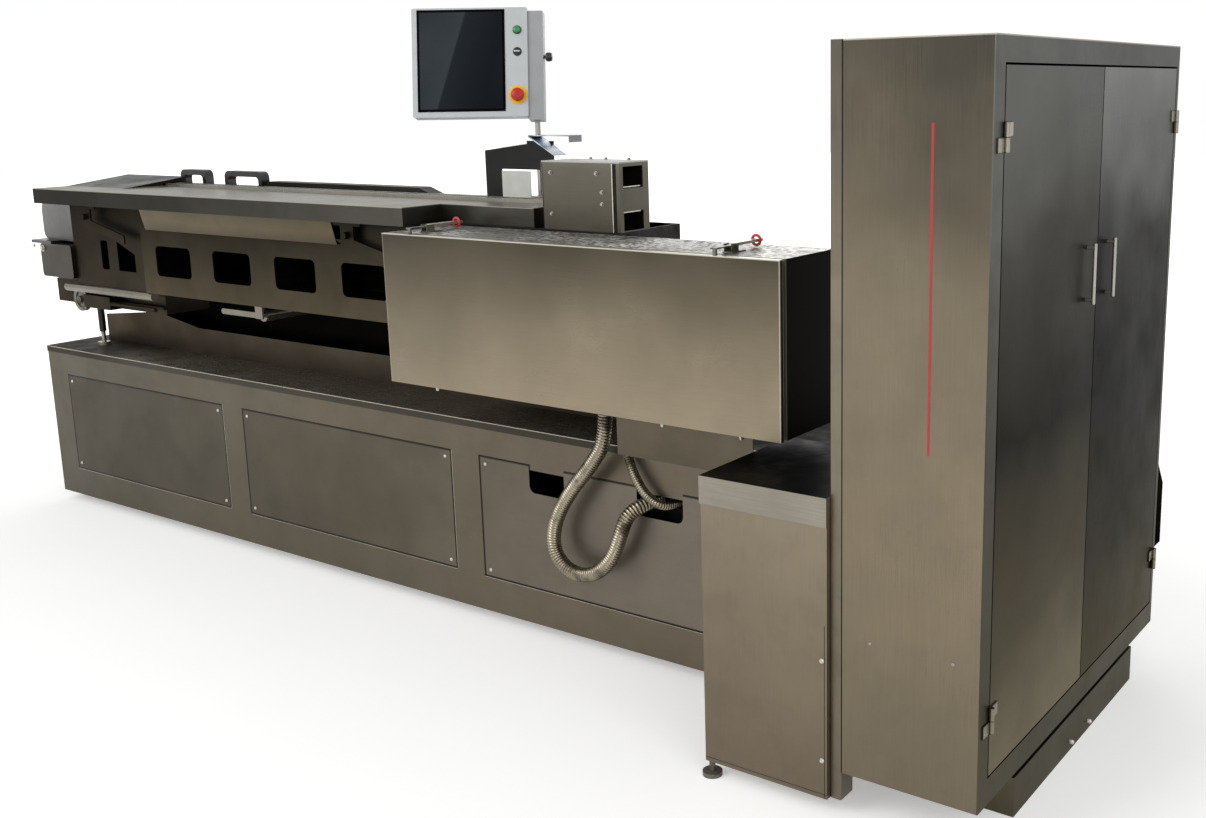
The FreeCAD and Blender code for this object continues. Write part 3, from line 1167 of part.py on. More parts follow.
def make_panel():
    """The operator panel, built facing forwards, then turned and tipped to the user."""
    turn = FreeCAD.Rotation(FreeCAD.Vector(0, 0, 1), size("hmi_yaw"))
    tip = FreeCAD.Rotation(FreeCAD.Vector(1, 0, 0), -size("hmi_tilt"))
    spin = turn.multiply(tip)
    pivot = FreeCAD.Vector(size("pivot_hmi_x"), size("pivot_hmi_y"), size("hmi_low"))

    def seat(thing, x, y, z):
        offset = spin.multVec(FreeCAD.Vector(size(x), size(y), size(z)))
        thing.Placement = FreeCAD.Placement(pivot + offset, spin)
        return thing

    def raised(name, loops, long):
        body = doc.addObject("PartDesign::Body", name)
        pad = body.newObject("PartDesign::Pad", name + "_pad")
        pad.Profile = add_sketch(body, name + "_outline", "front", loops)
        pad.Reversed = True
        pad.setExpression("Length", bound(long))
        return body

    front = "-hmi_thick / 2"
    side = raised("side_box_form", [
        ("round", "0", "0", "hmi_side", "hmi_high", "side_round")], "hmi_thick")
    seat(side, "-hmi_side / 2", front, "hmi_lift - side_drop")
    neck = rod("swivel_neck", "pivot_hmi_x", "pivot_hmi_y", "hmi_low + seat_gap", "hmi_post",
               "hmi_neck")
    keep(fuse("side_box_set", side, neck), "panel_side_box")

    case_x = "-hmi_side / 2 - hmi_wide"
    column = f"{case_x} + screen_wide + button_in"
    face = f"{front} - case_proud"
    top = "hmi_lift + hmi_high"
    rows = (("start_button", "button_radius", f"{top} - start_drop", "start_reach"),
            ("selector_knob", "button_radius", f"{top} - selector_drop", "selector_reach"),
            ("stop_button", "stop_radius", "hmi_lift + stop_up", "stop_reach"))
    case = raised("panel_case_form", [
        ("round", "0", "0", "hmi_wide", "hmi_high", "case_round")], "hmi_thick")
    wells = [("disc", "screen_wide + button_in", f"{high} - hmi_lift", "stem + seat_gap")
             for label, radius, high, reach in rows]
    pocket(case, "button_wells", "front", wells, "well_deep")
    keep(seat(case, case_x, face, "hmi_lift"), "panel_case")
    screen = raised("screen_form", [
        ("round", "0", "0", "screen_wide", "screen_high", "screen_round")], "screen_thick")
    keep(seat(screen, f"{case_x} + screen_in", f"{face} - screen_thick",
              "hmi_lift + screen_up"), "panel_screen")

    for label, radius, high, reach in rows:
        head_gap = "seat_gap" if label == "selector_knob" else "press_gap"
        head = f"{face} - {head_gap} - {reach}"
        if label == "stop_button":
            head = head + " - collar_thick"
        cap = seat(raised(label + "_head", [("disc", "0", "0", radius)], reach), column, head, high)
        stem = raised(label + "_stem", [("disc", "0", "0", "stem")],
                      "well_deep - press_gap / 2")
        keep(fuse(label + "_set", cap, seat(stem, column, f"{head} + {reach}", high)), label)

    collar = raised("stop_collar_form", [("disc", "0", "0", "collar_radius"),
                                         ("disc", "0", "0", "stem + collar_play")],
                    "collar_thick")
    keep(seat(collar, column, f"{face} - collar_thick", "hmi_lift + stop_up"), "stop_collar")
    knob = raised("knob_form", [("disc", "0", "0", "knob_radius")], "knob_deep")
    keep(seat(knob, "hmi_side / 2 + knob_radius", front, f"{top} - knob_drop"), "clamp_knob")


# Hoses: points of each route along the machine, into depth and up from the floor

LARGE_ROUTE = (
    (3221, 330, 837), (3221, 330, 735), (3150, 336, 642), (3058, 342, 545), (2984, 348, 435),
    (2972, 350, 338), (3038, 350, 278), (3136, 350, 288), (3212, 350, 356), (3246, 350, 440),
    (3268, 358, 506), (3306, 400, 536), (3318, 465.5, 536),
)
SMALL_ROUTE = (
    (3232, 392, 837), (3232, 392, 760), (3250, 386, 692), (3285, 376, 622), (3330, 376, 565),
    (3375, 402, 532), (3386, 467, 530),
)

BEND_SHARE = 0.45  # part of the shorter run beside a corner that its bend takes up


def hose_tube(points, diameter):
    """A tube along straight runs joined by tangent arcs."""
    spots = [FreeCAD.Vector(size(left(str(s))), size(deep(str(t))), z) for s, t, z in points]
    edges = []
    start = spots[0]
    radii = []
    for before, corner, after in zip(spots, spots[1:], spots[2:]):
        arriving = corner - before
        leaving = after - corner
        shorter = min(arriving.Length, leaving.Length)
        turn = arriving.getAngle(leaving)
        reach = BEND_SHARE * shorter
        radius = reach / math.tan(turn / 2)
        radii.append(round(radius / diameter, 1))
        arriving.normalize()
        leaving.normalize()
        first = corner - arriving * reach
        last = corner + leaving * reach
        inward = leaving - arriving
        inward.normalize()
        middle = corner + inward * (radius / math.cos(turn / 2) - radius)
        edges.append(Part.LineSegment(start, first).toShape())
        edges.append(Part.Arc(first, middle, last).toShape())
        start = last
    edges.append(Part.LineSegment(start, spots[-1]).toShape())
    path = Part.Wire(edges)
    aim = spots[1] - spots[0]
    ring = Part.Wire(Part.Circle(spots[0], aim, diameter / 2).toShape())
    tube = path.makePipeShell([ring], True, False)
    expected = math.pi * diameter ** 2 / 4 * path.Length
    print("hose length", round(path.Length), "volume share", round(tube.Volume / expected, 4),
          "bend radii in diameters", radii)
    return tube


def make_hoses():
    for label, points in (("hose_large", LARGE_ROUTE), ("hose_small", SMALL_ROUTE)):
        thing = doc.addObject("Part::Feature", label + "_form")
        thing.Shape = hose_tube(points, size(label))
        keep(thing, label)
    glands = []
    for label, points in (("hose_large", LARGE_ROUTE), ("hose_small", SMALL_ROUTE)):
        s, t, z = points[0]
        glands.append(rod(f"{label}_gland", left(s), deep(t), "drive_low - gland_high",
                          f"{label} / 2 + gland_proud", "gland_high"))
    keep(group("gland_set", *glands), "hose_glands")

    start = "base_front + 2 * sheet_wall"
    wide = "hose_bracket_wide"
    back = f"hose_bracket_back - ({start})"
    plan = [("poly", [
        ("0", "0"), ("sheet_wall", "0"), ("sheet_wall", f"{back} - beam_plate"),
        (f"{wide} - sheet_wall", f"{back} - beam_plate"), (f"{wide} - sheet_wall", "0"),
        (wide, "0"), (wide, back), ("0", back)])]
    keep(extrude("hose_bracket_form", "floor", plan, "hose_bracket_high",
                 (left("notch_two_start - hose_bracket_in"), deep(start),
                  "panel_low + panel_high - hose_bracket_drop")), "hose_bracket")


def check_and_write():
    doc.recompute()
    for thing in doc.Objects:
        if "Invalid" in thing.State or "Error" in thing.State:
            raise RuntimeError(f"{thing.Label}: {thing.State}")
    os.makedirs("parts", exist_ok=True)
    for thing in SUB_PARTS:
        shape = thing.Shape
        if shape.isNull() or not shape.isValid():
            raise RuntimeError(f"{thing.Label}: shape is not valid")
        shape.exportStep(f"parts/{thing.Label}.step")


for make in (make_base, make_levellers, make_pedestal, make_cabinet, make_doors, make_beam,
             make_table, make_tail, make_drive, make_housing, make_guard, make_panel, make_hoses):
    make()
check_and_write()
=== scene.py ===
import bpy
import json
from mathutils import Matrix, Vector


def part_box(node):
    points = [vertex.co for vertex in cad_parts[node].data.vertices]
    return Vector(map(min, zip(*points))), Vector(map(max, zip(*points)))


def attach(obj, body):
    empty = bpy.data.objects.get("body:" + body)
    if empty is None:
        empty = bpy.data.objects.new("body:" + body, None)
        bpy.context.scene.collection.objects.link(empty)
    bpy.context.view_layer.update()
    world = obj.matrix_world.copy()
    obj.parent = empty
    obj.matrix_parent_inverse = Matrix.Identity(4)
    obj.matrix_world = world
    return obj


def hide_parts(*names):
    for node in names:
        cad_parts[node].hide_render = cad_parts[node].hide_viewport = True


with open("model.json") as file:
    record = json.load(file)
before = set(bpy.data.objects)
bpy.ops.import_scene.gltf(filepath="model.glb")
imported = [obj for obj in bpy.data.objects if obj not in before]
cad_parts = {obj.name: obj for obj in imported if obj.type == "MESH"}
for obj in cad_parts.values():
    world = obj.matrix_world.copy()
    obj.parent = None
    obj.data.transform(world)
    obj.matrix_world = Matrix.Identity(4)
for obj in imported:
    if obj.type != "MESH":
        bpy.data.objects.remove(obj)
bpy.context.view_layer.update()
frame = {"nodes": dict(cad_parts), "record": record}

import json
import math

import bmesh
import bpy
from mathutils import Matrix, Vector

MM = 0.001
AXES = {"x": 0, "y": 1, "z": 2}
GRAINS = {"x": (1, 60, 60), "y": (60, 1, 60), "z": (60, 60, 1)}


# Shader nodes

def tone(red, green, blue):
    """A colour written as screen values, as the linear values that shaders take."""
    def linear(value):
        value /= 255
        return value / 12.92 if value <= 0.04045 else ((value + 0.055) / 1.055) ** 2.4
    return (linear(red), linear(green), linear(blue), 1.0)


def link(tree, value, socket):
    if isinstance(value, bpy.types.NodeSocket):
        tree.links.new(value, socket)
    else:
        socket.default_value = value


def node(tree, kind, inputs=None, **settings):
    made = tree.nodes.new("ShaderNode" + kind)
    for key, value in settings.items():
        setattr(made, key, value)
    for key, value in (inputs or {}).items():
        link(tree, value, made.inputs[key])
    return made


def noise(tree, spot, scale, detail=3.0, stretch=(1, 1, 1)):
    moved = node(tree, "Mapping", {"Vector": spot, "Scale": stretch})
    return node(tree, "TexNoise", {"Vector": moved.outputs[0], "Scale": scale, "Detail": detail,
                                   "Roughness": 0.6}).outputs[0]


def spread(tree, value, low, high, start=0.3, end=0.7):
    """Low where the value is at start, high where it is at end, and even between them."""
    return node(tree, "MapRange", {"Value": value, "From Min": start, "From Max": end,
                                   "To Min": low, "To Max": high}).outputs[0]


def math_node(tree, operation, first, second):
    return node(tree, "Math", {0: first, 1: second}, operation=operation).outputs[0]


def times(tree, colour, factor):
    """A colour made darker or lighter by a number."""
    grey = node(tree, "CombineColor", {0: factor, 1: factor, 2: factor}).outputs[0]
    return node(tree, "Mix", {0: 1.0, 6: colour, 7: grey}, data_type="RGBA",
                blend_type="MULTIPLY").outputs[2]


def mixed(tree, factor, first, second):
    return node(tree, "Mix", {0: factor, 6: first, 7: second}, data_type="RGBA").outputs[2]


def ramped(tree, level, stops):
    """Tones along a level from 0 to 1; stops is (position, tone) from one end to the other."""
    ramp = node(tree, "ValToRGB", {0: level})
    marks = ramp.color_ramp.elements
    while len(marks) < len(stops):
        marks.new(0.5)
    for mark, (position, colour) in zip(marks, stops):
        mark.position = position
        mark.color = tone(*colour)
    return ramp.outputs[0]


def edged(tree, colour, parts, edges):
    """Lines of another shade where a place along an axis is reached: painted highlights on edges,
    and dark seams.
    """
    for axis, place, width, strength, shade in edges:
        offset = math_node(tree, "SUBTRACT", parts[AXES[axis]], place)
        away = math_node(tree, "ABSOLUTE", offset, 0.0)
        near = spread(tree, away, strength, 0.0, width * 0.5, width)
        colour = mixed(tree, near, colour, tone(*shade))
    return colour


def painted_shade_factor(tree, parts, painted_shade_ends):
    """Painted shade: one, but for stretches of an axis over which it falls to a low value."""
    shade = None
    for axis, start, end, low in painted_shade_ends:
        step = spread(tree, parts[AXES[axis]], 1.0, low, start, end)
        shade = math_node(tree, "MULTIPLY", shade, step) if shade else step
    return shade


def bumped(tree, shader, height, strength, distance):
    bump = node(tree, "Bump", {"Height": height, "Strength": strength, "Distance": distance})
    link(tree, bump.outputs[0], shader.inputs["Normal"])


# Kinds of surface

def fresh(name, metallic, rough, rim=1.0):
    """An empty material; rim lowers its glancing reflection."""
    material = bpy.data.materials.new(name)
    material.use_nodes = True
    tree = material.node_tree
    shader = tree.nodes["Principled BSDF"]
    shader.inputs["Metallic"].default_value = metallic
    shader.inputs["Roughness"].default_value = rough
    shader.inputs["Specular Tint"].default_value = (rim, rim, rim, 1.0)
    spot = tree.nodes.new("ShaderNodeTexCoord").outputs["Object"]
    return material, tree, shader, spot


def brushed(name, stops, along="z", span=(0.0, 1.0), grain="x", rough=0.36, metallic=0.85,
            patches=0.14, streaks=0.05, smudge=0.10, drift=None, edges=(), rim=1.0, sway=0.09):
    """Brushed sheet: tones along one axis, a drift along another, patches, streaks, smudges and
    painted highlights along folded edges; on some sheets the tones are painted reflections.
    Sway is how far the tones wander off straight lines."""
    material, tree, shader, spot = fresh(name, metallic, rough, rim)
    parts = node(tree, "SeparateXYZ", {0: spot}).outputs
    level = spread(tree, parts[AXES[along]], 0.0, 1.0, *span)
    wander = spread(tree, noise(tree, spot, 2.2, 2.0), -sway, sway)
    colour = ramped(tree, math_node(tree, "ADD", level, wander), stops)
    broad = spread(tree, noise(tree, spot, 3.4, 4.0), 1 - patches, 1 + patches)
    if drift:
        axis, start, end, low, high = drift
        broad = math_node(tree, "MULTIPLY", broad,
                          spread(tree, parts[AXES[axis]], low, high, start, end))
    lines = noise(tree, spot, 9.0, 2.0, GRAINS[grain])
    fine = spread(tree, lines, 1 - streaks, 1 + streaks)
    stain = spread(tree, noise(tree, spot, 11.0, 6.0), 1 - smudge, 1.0, 0.36, 0.5)
    colour = times(tree, colour, math_node(tree, "MULTIPLY", broad, fine))
    colour = edged(tree, times(tree, colour, stain), parts, edges)
    link(tree, colour, shader.inputs["Base Color"])
    cloudy = spread(tree, noise(tree, spot, 5.0, 3.0), rough - 0.07, rough + 0.1)
    link(tree, math_node(tree, "ADD", cloudy, spread(tree, lines, -0.04, 0.04)),
         shader.inputs["Roughness"])
    bumped(tree, shader, lines, 0.07, 0.0003)
    return material


def two_faced(name, top, flakes, side, scale, cut=(0.5, 0.6), rough=0.4, metallic=0.8,
              rim=1.0, side_rough=0.45, edges=(), painted_shade_ends=()):
    """Sheet whose upward faces carry dirt and flakes while its upright faces stay smooth. Where
    painted shade falls, the upward faces turn dark and dull."""
    material, tree, shader, spot = fresh(name, metallic, rough, rim)
    parts = node(tree, "SeparateXYZ", {0: spot}).outputs
    normal = tree.nodes.new("ShaderNodeTexCoord").outputs["Normal"]
    upward = spread(tree, node(tree, "SeparateXYZ", {0: normal}).outputs[2], 0.0, 1.0, 0.6, 0.8)
    film = spread(tree, noise(tree, spot, 5.0, 5.0), 0.72, 1.22)
    gather = spread(tree, noise(tree, spot, 3.0, 3.0), 0.25, 1.0, 0.38, 0.62)
    fleck = spread(tree, noise(tree, spot, scale, 6.0), 0.0, 1.0, *cut)
    fleck = math_node(tree, "MULTIPLY", fleck, gather)
    above = mixed(tree, fleck, times(tree, tone(*top), film), tone(*flakes))
    cloudy = spread(tree, noise(tree, spot, 14.0, 4.0), rough - 0.1, rough + 0.16)
    if painted_shade_ends:
        shade = painted_shade_factor(tree, parts, painted_shade_ends)
        above = times(tree, above, shade)
        cloudy = math_node(tree, "ADD", cloudy, spread(tree, shade, 0.4, 0.0, 0.0, 1.0))
        link(tree, spread(tree, shade, 1.0, metallic, 0.0, 1.0), shader.inputs["Metallic"])
    lines = noise(tree, spot, 9.0, 2.0, GRAINS["x"])
    fine = math_node(tree, "MULTIPLY", spread(tree, lines, 0.9, 1.1),
                     spread(tree, noise(tree, spot, 3.4, 4.0), 0.84, 1.16))
    colour = mixed(tree, upward, times(tree, tone(*side), fine), above)
    link(tree, edged(tree, colour, parts, edges), shader.inputs["Base Color"])
    link(tree, spread(tree, upward, side_rough, cloudy, 0.0, 1.0), shader.inputs["Roughness"])
    bumped(tree, shader, math_node(tree, "MULTIPLY", fleck, upward), 0.35, 0.0008)
    return material


def soiled(name, base, spots, scale, cut=(0.5, 0.62), rough=0.45, metallic=0.75):
    """Sheet under a film of dirt, with loose specks and dried splashes."""
    material, tree, shader, spot = fresh(name, metallic, rough)
    film = spread(tree, noise(tree, spot, 4.0, 5.0), 0.72, 1.2)
    speck = spread(tree, noise(tree, spot, scale, 6.0), 0.0, 1.0, *cut)
    colour = mixed(tree, speck, times(tree, tone(*base), film), tone(*spots))
    link(tree, colour, shader.inputs["Base Color"])
    link(tree, spread(tree, noise(tree, spot, 16.0, 4.0), rough - 0.12, rough + 0.2),
         shader.inputs["Roughness"])
    bumped(tree, shader, speck, 0.3, 0.0006)
    return material


def moulded(name, colour, rough=0.4, metallic=0.0, grain=220.0, wear=0.08):
    """Paint or plastic with a fine texture and slight fading."""
    material, tree, shader, spot = fresh(name, metallic, rough)
    worn = spread(tree, noise(tree, spot, 18.0, 4.0), 1 - wear, 1 + wear)
    link(tree, times(tree, tone(*colour), worn), shader.inputs["Base Color"])
    link(tree, spread(tree, noise(tree, spot, 40.0, 3.0), rough - 0.05, rough + 0.08),
         shader.inputs["Roughness"])
    bumped(tree, shader, noise(tree, spot, grain, 2.0), 0.06, 0.0003)
    return material


def glass(name, shine, stops, lean, span):
    """Dark glass with a painted slanting sheen; lean is how far it shifts across for each step
    up.
    """
    material, tree, shader, spot = fresh(name, 0.0, 0.3)
    parts = node(tree, "SeparateXYZ", {0: spot}).outputs
    slant = math_node(tree, "SUBTRACT", parts[0], math_node(tree, "MULTIPLY", parts[2], lean))
    sheen = ramped(tree, spread(tree, slant, 0.0, 1.0, *span), stops)
    haze = spread(tree, noise(tree, spot, 9.0, 4.0), 0.92, 1.08)
    link(tree, times(tree, sheen, haze), shader.inputs["Base Color"])
    shader.inputs["Specular IOR Level"].default_value = shine
    return material


# Meshes and pieces

def paint(material, *names):
    for name in names:
        mesh = frame["nodes"][name].data
        mesh.materials.clear()
        mesh.materials.append(material)


def finish_piece(name, form, body, material, at=None, smooth=True):
    """Turns a built form into a piece that rides on a body."""
    mesh = bpy.data.meshes.new(name)
    form.to_mesh(mesh)
    form.free()
    mesh.materials.append(material)
    if smooth:
        mesh.shade_smooth()
        mesh.set_sharp_from_angle(angle=math.radians(35))
    piece = bpy.data.objects.new(name, mesh)
    bpy.context.collection.objects.link(piece)
    if at is not None:
        piece.matrix_world = at
    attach(piece, body)
    return piece


def facing(point, normal):
    """A place whose own Z axis points along normal."""
    return Matrix.Translation(Vector(point)) @ Vector(normal).to_track_quat(
        "Z", "Y").to_matrix().to_4x4()


def turned(form, profile, place, sides=24):
    """Adds a shape of revolution; profile is (radius, height) from one end to the other."""
    rings = []
    for radius, height in profile:
        if radius < 1e-7:
            rings.append([form.verts.new(place @ Vector((0, 0, height)))])
            continue
        angles = (2 * math.pi * step / sides for step in range(sides))
        rings.append([form.verts.new(place @ Vector((radius * math.cos(angle),
                                                     radius * math.sin(angle), height)))
                      for angle in angles])
    for low, high in zip(rings, rings[1:]):
        for step in range(sides):
            following = (step + 1) % sides
            if len(low) == 1:
                form.faces.new((low[0], high[following], high[step]))
            elif len(high) == 1:
                form.faces.new((low[step], low[following], high[0]))
            else:
                form.faces.new((low[step], low[following], high[following], high[step]))
    if len(rings[0]) > 1:
        form.faces.new(list(reversed(rings[0])))
    if len(rings[-1]) > 1:
        form.faces.new(rings[-1])


def slab(form, low, high, radius=0.0):
    """Adds a block between two corners, with rounded edges where it has a radius."""
    made = bmesh.ops.create_cube(form, size=1.0)["verts"]
    middle = (Vector(low) + Vector(high)) / 2
    extent = Vector(high) - Vector(low)
    for vertex in made:
        vertex.co = Vector(a * b for a, b in zip(vertex.co, extent)) + middle
    if radius > 0:
        edges = dict.fromkeys(edge for vertex in made for edge in vertex.link_edges)
        bmesh.ops.bevel(form, geom=list(edges), offset=radius, segments=2, affect="EDGES",
                        profile=0.5)


def ring(form, radius, tube, place, around=24, sides=10):
    """Adds a closed ring of round section in the place's own XY plane."""
    loops = []
    for step in range(around):
        turn = 2 * math.pi * step / around
        loop = []
        for part in range(sides):
            angle = 2 * math.pi * part / sides
            reach = radius + tube * math.cos(angle)
            point = Vector((reach * math.cos(turn), reach * math.sin(turn),
                            tube * math.sin(angle)))
            loop.append(form.verts.new(place @ point))
        loops.append(loop)
    for step in range(around):
        here, ahead = loops[step], loops[(step + 1) % around]
        for part in range(sides):
            following = (part + 1) % sides
            form.faces.new((here[part], ahead[part], ahead[following], here[following]))


# Where the CAD pieces lie

top_low, top_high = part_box("base_top")
panels_low, panels_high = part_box("base_panels")
rear_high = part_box("base_rear_panels")[1]
table_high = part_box("table_top")[1]
foot_low, foot_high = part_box("beam_feet")
housing_low, housing_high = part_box("transfer_housing")
slide_low, slide_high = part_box("infeed_slide")
drive_low, drive_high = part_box("drive_cover")
pedestal_low, pedestal_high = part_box("pedestal_body")
cabinet_low, cabinet_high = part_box("cabinet_walls")
plinth_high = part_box("cabinet_plinth")[1]
LEFT_END = top_low.x
FRONT_LINE = cabinet_low.y
CABINET_RIGHT = LEFT_END + 4554 * MM


def spot_at(s, t, z):
    """A place in millimetres: s from the base's left end, t behind the cabinet's front face."""
    return Vector((LEFT_END + s * MM, FRONT_LINE + t * MM, z * MM))


def sheet_ends(name):
    """The left and right end of each sheet in a row, from left to right."""
    ends = sorted({round(vertex.co.x, 4) for vertex in frame["nodes"][name].data.vertices})
    return list(zip(ends[::2], ends[1::2]))


PANELS = sheet_ends("base_rear_panels")


# Finishes of the sheet metal

# EDGE_HIGHLIGHT is a pale line painted along edges as a highlight; SEAM is the dark joint between
# sheets.
EDGE_HIGHLIGHT = (196, 190, 176)
SEAM = (30, 28, 23)
CABINET_SPAN = (0.1, 1.84)
# Drive cover: lighter low, darker at the top and darker to the left, all painted reflections;
# pale lines on its top, right and left edges are painted highlights.
taupe_cover = brushed("cover_steel", ((0.0, (140, 129, 109)), (0.4, (120, 110, 92)),
                                      (0.75, (90, 82, 68)), (1.0, (68, 62, 51))),
                      span=(0.86, 1.33), grain="x", rough=0.34, patches=0.04, smudge=0.04,
                      drift=("x", drive_low.x, drive_high.x, 0.88, 1.07),
                      edges=(("z", drive_high.z, 0.004, 0.9, EDGE_HIGHLIGHT),
                             ("x", drive_high.x, 0.004, 0.55, EDGE_HIGHLIGHT),
                             ("x", drive_low.x, 0.003, 0.3, EDGE_HIGHLIGHT)))
# Cabinet front: darker towards the top as a painted reflection; pale lines at its right edge and
# top are painted highlights.
taupe_front = brushed("cabinet_steel", ((0.0, (114, 104, 87)), (0.35, (124, 113, 94)),
                                        (0.7, (108, 99, 83)), (1.0, (66, 62, 54))),
                      span=CABINET_SPAN, grain="z", rough=0.33, patches=0.05, smudge=0.05,
                      edges=(("x", CABINET_RIGHT, 0.0035, 0.45, EDGE_HIGHLIGHT),
                             ("z", cabinet_high.z, 0.004, 0.6, EDGE_HIGHLIGHT)))
post_steel = brushed("post_steel", ((0.0, (112, 104, 90)), (0.6, (120, 111, 96)),
                                    (1.0, (78, 74, 65))),
                     span=CABINET_SPAN, grain="z", rough=0.36, patches=0.05)
# Doors: the tones up their height are painted reflections, pale low, near black in the middle and
# grey at the top.
near_door_reflected_tones = brushed("near_door_reflected_tones", ((0.0, (142, 133, 111)), (0.22, (88, 82, 67)),
                                    (0.5, (33, 32, 28)), (0.75, (66, 65, 61)),
                                    (1.0, (114, 114, 111))),
                     span=CABINET_SPAN, grain="z", rough=0.3, metallic=1.0, patches=0.03,
                     rim=0.5, streaks=0.03, smudge=0.03, sway=0.04)
far_door_reflected_tones = brushed("far_door_reflected_tones", ((0.0, (90, 83, 62)), (0.25, (52, 48, 36)),
                                            (0.5, (18, 17, 15)), (0.72, (46, 45, 43)),
                                            (1.0, (146, 146, 143))),
                         span=CABINET_SPAN, grain="z", rough=0.3, metallic=1.0, patches=0.03,
                         rim=0.5, streaks=0.03, smudge=0.03, sway=0.04)
# Door frame: its top edge carries a painted highlight.
frame_steel = brushed("frame_steel", ((0.0, (88, 83, 67)), (0.5, (62, 60, 53)),
                                      (1.0, (98, 98, 95))),
                      span=CABINET_SPAN, grain="z", rough=0.34, metallic=1.0, rim=0.6,
                      edges=(("z", cabinet_high.z, 0.004, 0.7, EDGE_HIGHLIGHT),))
panel_steel = brushed("panel_steel", ((0.0, (62, 56, 43)), (0.5, (86, 79, 66)),
                                      (1.0, (122, 113, 102))),
                      along="x", span=(-2.2, 1.5), grain="x", rough=0.4, patches=0.07,
                      smudge=0.06,
                      edges=tuple(("x", end, 0.007, 1.0, SEAM) for ends in PANELS
                                  for end in ends)
                      + (("z", panels_low.z, 0.007, 1.0, SEAM),
                         ("z", panels_high.z, 0.007, 0.9, SEAM)))
base_steel = brushed("base_steel", ((0.0, (80, 74, 61)), (0.5, (98, 90, 76)),
                                    (1.0, (112, 102, 88))),
                     along="x", span=(-2.2, 1.9), grain="x", rough=0.38, patches=0.07,
                     smudge=0.06)
# Base top: dirt and flakes on top, and both ends darkened as painted shade.
top_dirt_and_shade = two_faced("base_top_dirt_and_shade", (98, 92, 81), (124, 118, 106), (58, 53, 44), scale=3.0,
                     cut=(0.35, 0.9), rough=0.24, metallic=0.55, rim=0.6, side_rough=0.4,
                     painted_shade_ends=(("x", 0.95, 1.15, 0.06), ("x", -1.6, -1.9, 0.3)))
pedestal_steel = brushed("pedestal_steel", ((0.0, (112, 101, 85)), (0.6, (124, 113, 95)),
                                            (1.0, (136, 125, 107))),
                         span=(0.04, 0.8), grain="z", rough=0.36, patches=0.07, smudge=0.06)
# Pedestal cap: its top faces are near black, grime together with a painted dark reflection; its
# upright apron stays pale.
cap_steel = two_faced("cap_steel", (12, 12, 11), (26, 25, 23), (144, 138, 127), scale=30.0,
                      rim=0.2, side_rough=0.32)
dark_steel = brushed("dark_steel", ((0.0, (76, 69, 56)), (0.5, (60, 55, 45)),
                                    (1.0, (34, 32, 27))),
                     span=(1.0, 1.33), grain="x", rough=0.4, patches=0.1, metallic=1.0, rim=0.5)
tail_steel = brushed("tail_steel", ((0.0, (58, 53, 45)), (0.6, (48, 44, 37)),
                                    (1.0, (32, 30, 25))),
                     span=(0.98, 1.4), grain="x", rough=0.42, patches=0.16, metallic=1.0,
                     rim=0.5)
box_steel = brushed("box_steel", ((0.0, (42, 37, 30)), (0.46, (54, 48, 39)),
                                  (0.5, (80, 78, 75)), (1.0, (116, 115, 113))),
                    span=(1.02, 1.34), grain="z", rough=0.3, patches=0.2)
# Table: the pale line along its top edge is a painted highlight.
table_steel = brushed("table_steel", ((0.0, (34, 32, 27)), (0.5, (50, 48, 42)),
                                      (1.0, (76, 74, 68))),
                      along="x", span=(-2.1, 0.2), grain="x", rough=0.32, patches=0.08,
                      metallic=1.0, rim=0.7,
                      edges=(("z", table_high.z, 0.003, 0.5, EDGE_HIGHLIGHT),))
beige_sheet = brushed("deflector_steel", ((0.0, (64, 56, 38)), (0.5, (86, 75, 54)),
                                          (1.0, (72, 64, 45))),
                      span=(1.25, 1.34), grain="x", rough=0.34, patches=0.08)
# Near-black steel painted as shade on the beam's cross plates and the hose bracket.
shadow_black = soiled("shadow_steel", (20, 19, 17), (34, 32, 29), scale=14.0, rough=0.5)
cowl_steel = brushed("cowl_steel", ((0.0, (30, 29, 24)), (1.0, (44, 43, 36))),
                     span=(0.35, 0.65), grain="z", rough=0.5, metallic=1.0, rim=0.15)
guard_steel = brushed("guard_steel", ((0.0, (48, 48, 47)), (1.0, (34, 34, 34))),
                      span=(1.42, 1.58), grain="x", rough=0.42)
# Raised pan: the band of its inside behind the front lip is painted near black as shade under the
# beam.
trough_steel = brushed("trough_steel", ((0.0, (78, 71, 61)), (0.33, (78, 71, 61)),
                                        (0.36, (16, 15, 14)), (0.925, (14, 13, 12)),
                                        (0.934, (78, 71, 61))),
                       along="y", span=(FRONT_LINE + 0.63, FRONT_LINE + 0.74), grain="x",
                       rough=0.42, patches=0.12, metallic=1.0, rim=0.4, sway=0.002)
# Drive box body: its upright faces are painted near black as shade; the pale line along its top
# near the front is a painted highlight.
drive_steel = two_faced("drive_box_steel", (102, 101, 96), (226, 224, 218), (3, 3, 3),
                        scale=62.0, cut=(0.47, 0.53), rough=0.4, side_rough=0.5, rim=0.7,
                        edges=(("y", FRONT_LINE + 0.208, 0.004, 0.9, (138, 135, 127)),))
support_steel = brushed("support_steel", ((0.0, (84, 77, 64)), (1.0, (98, 90, 76))),
                        span=(0.73, 0.86), grain="x", rough=0.4)
# Transfer housing: the pale line along its top edge is a painted highlight.
housing_steel = brushed("housing_steel", ((0.0, (80, 76, 66)), (0.85, (95, 91, 81)),
                                          (1.0, (104, 101, 92))),
                        span=(1.33, 1.54), grain="x", rough=0.36, patches=0.07,
                        edges=(("z", housing_high.z, 0.005, 0.9, (172, 170, 164)),))
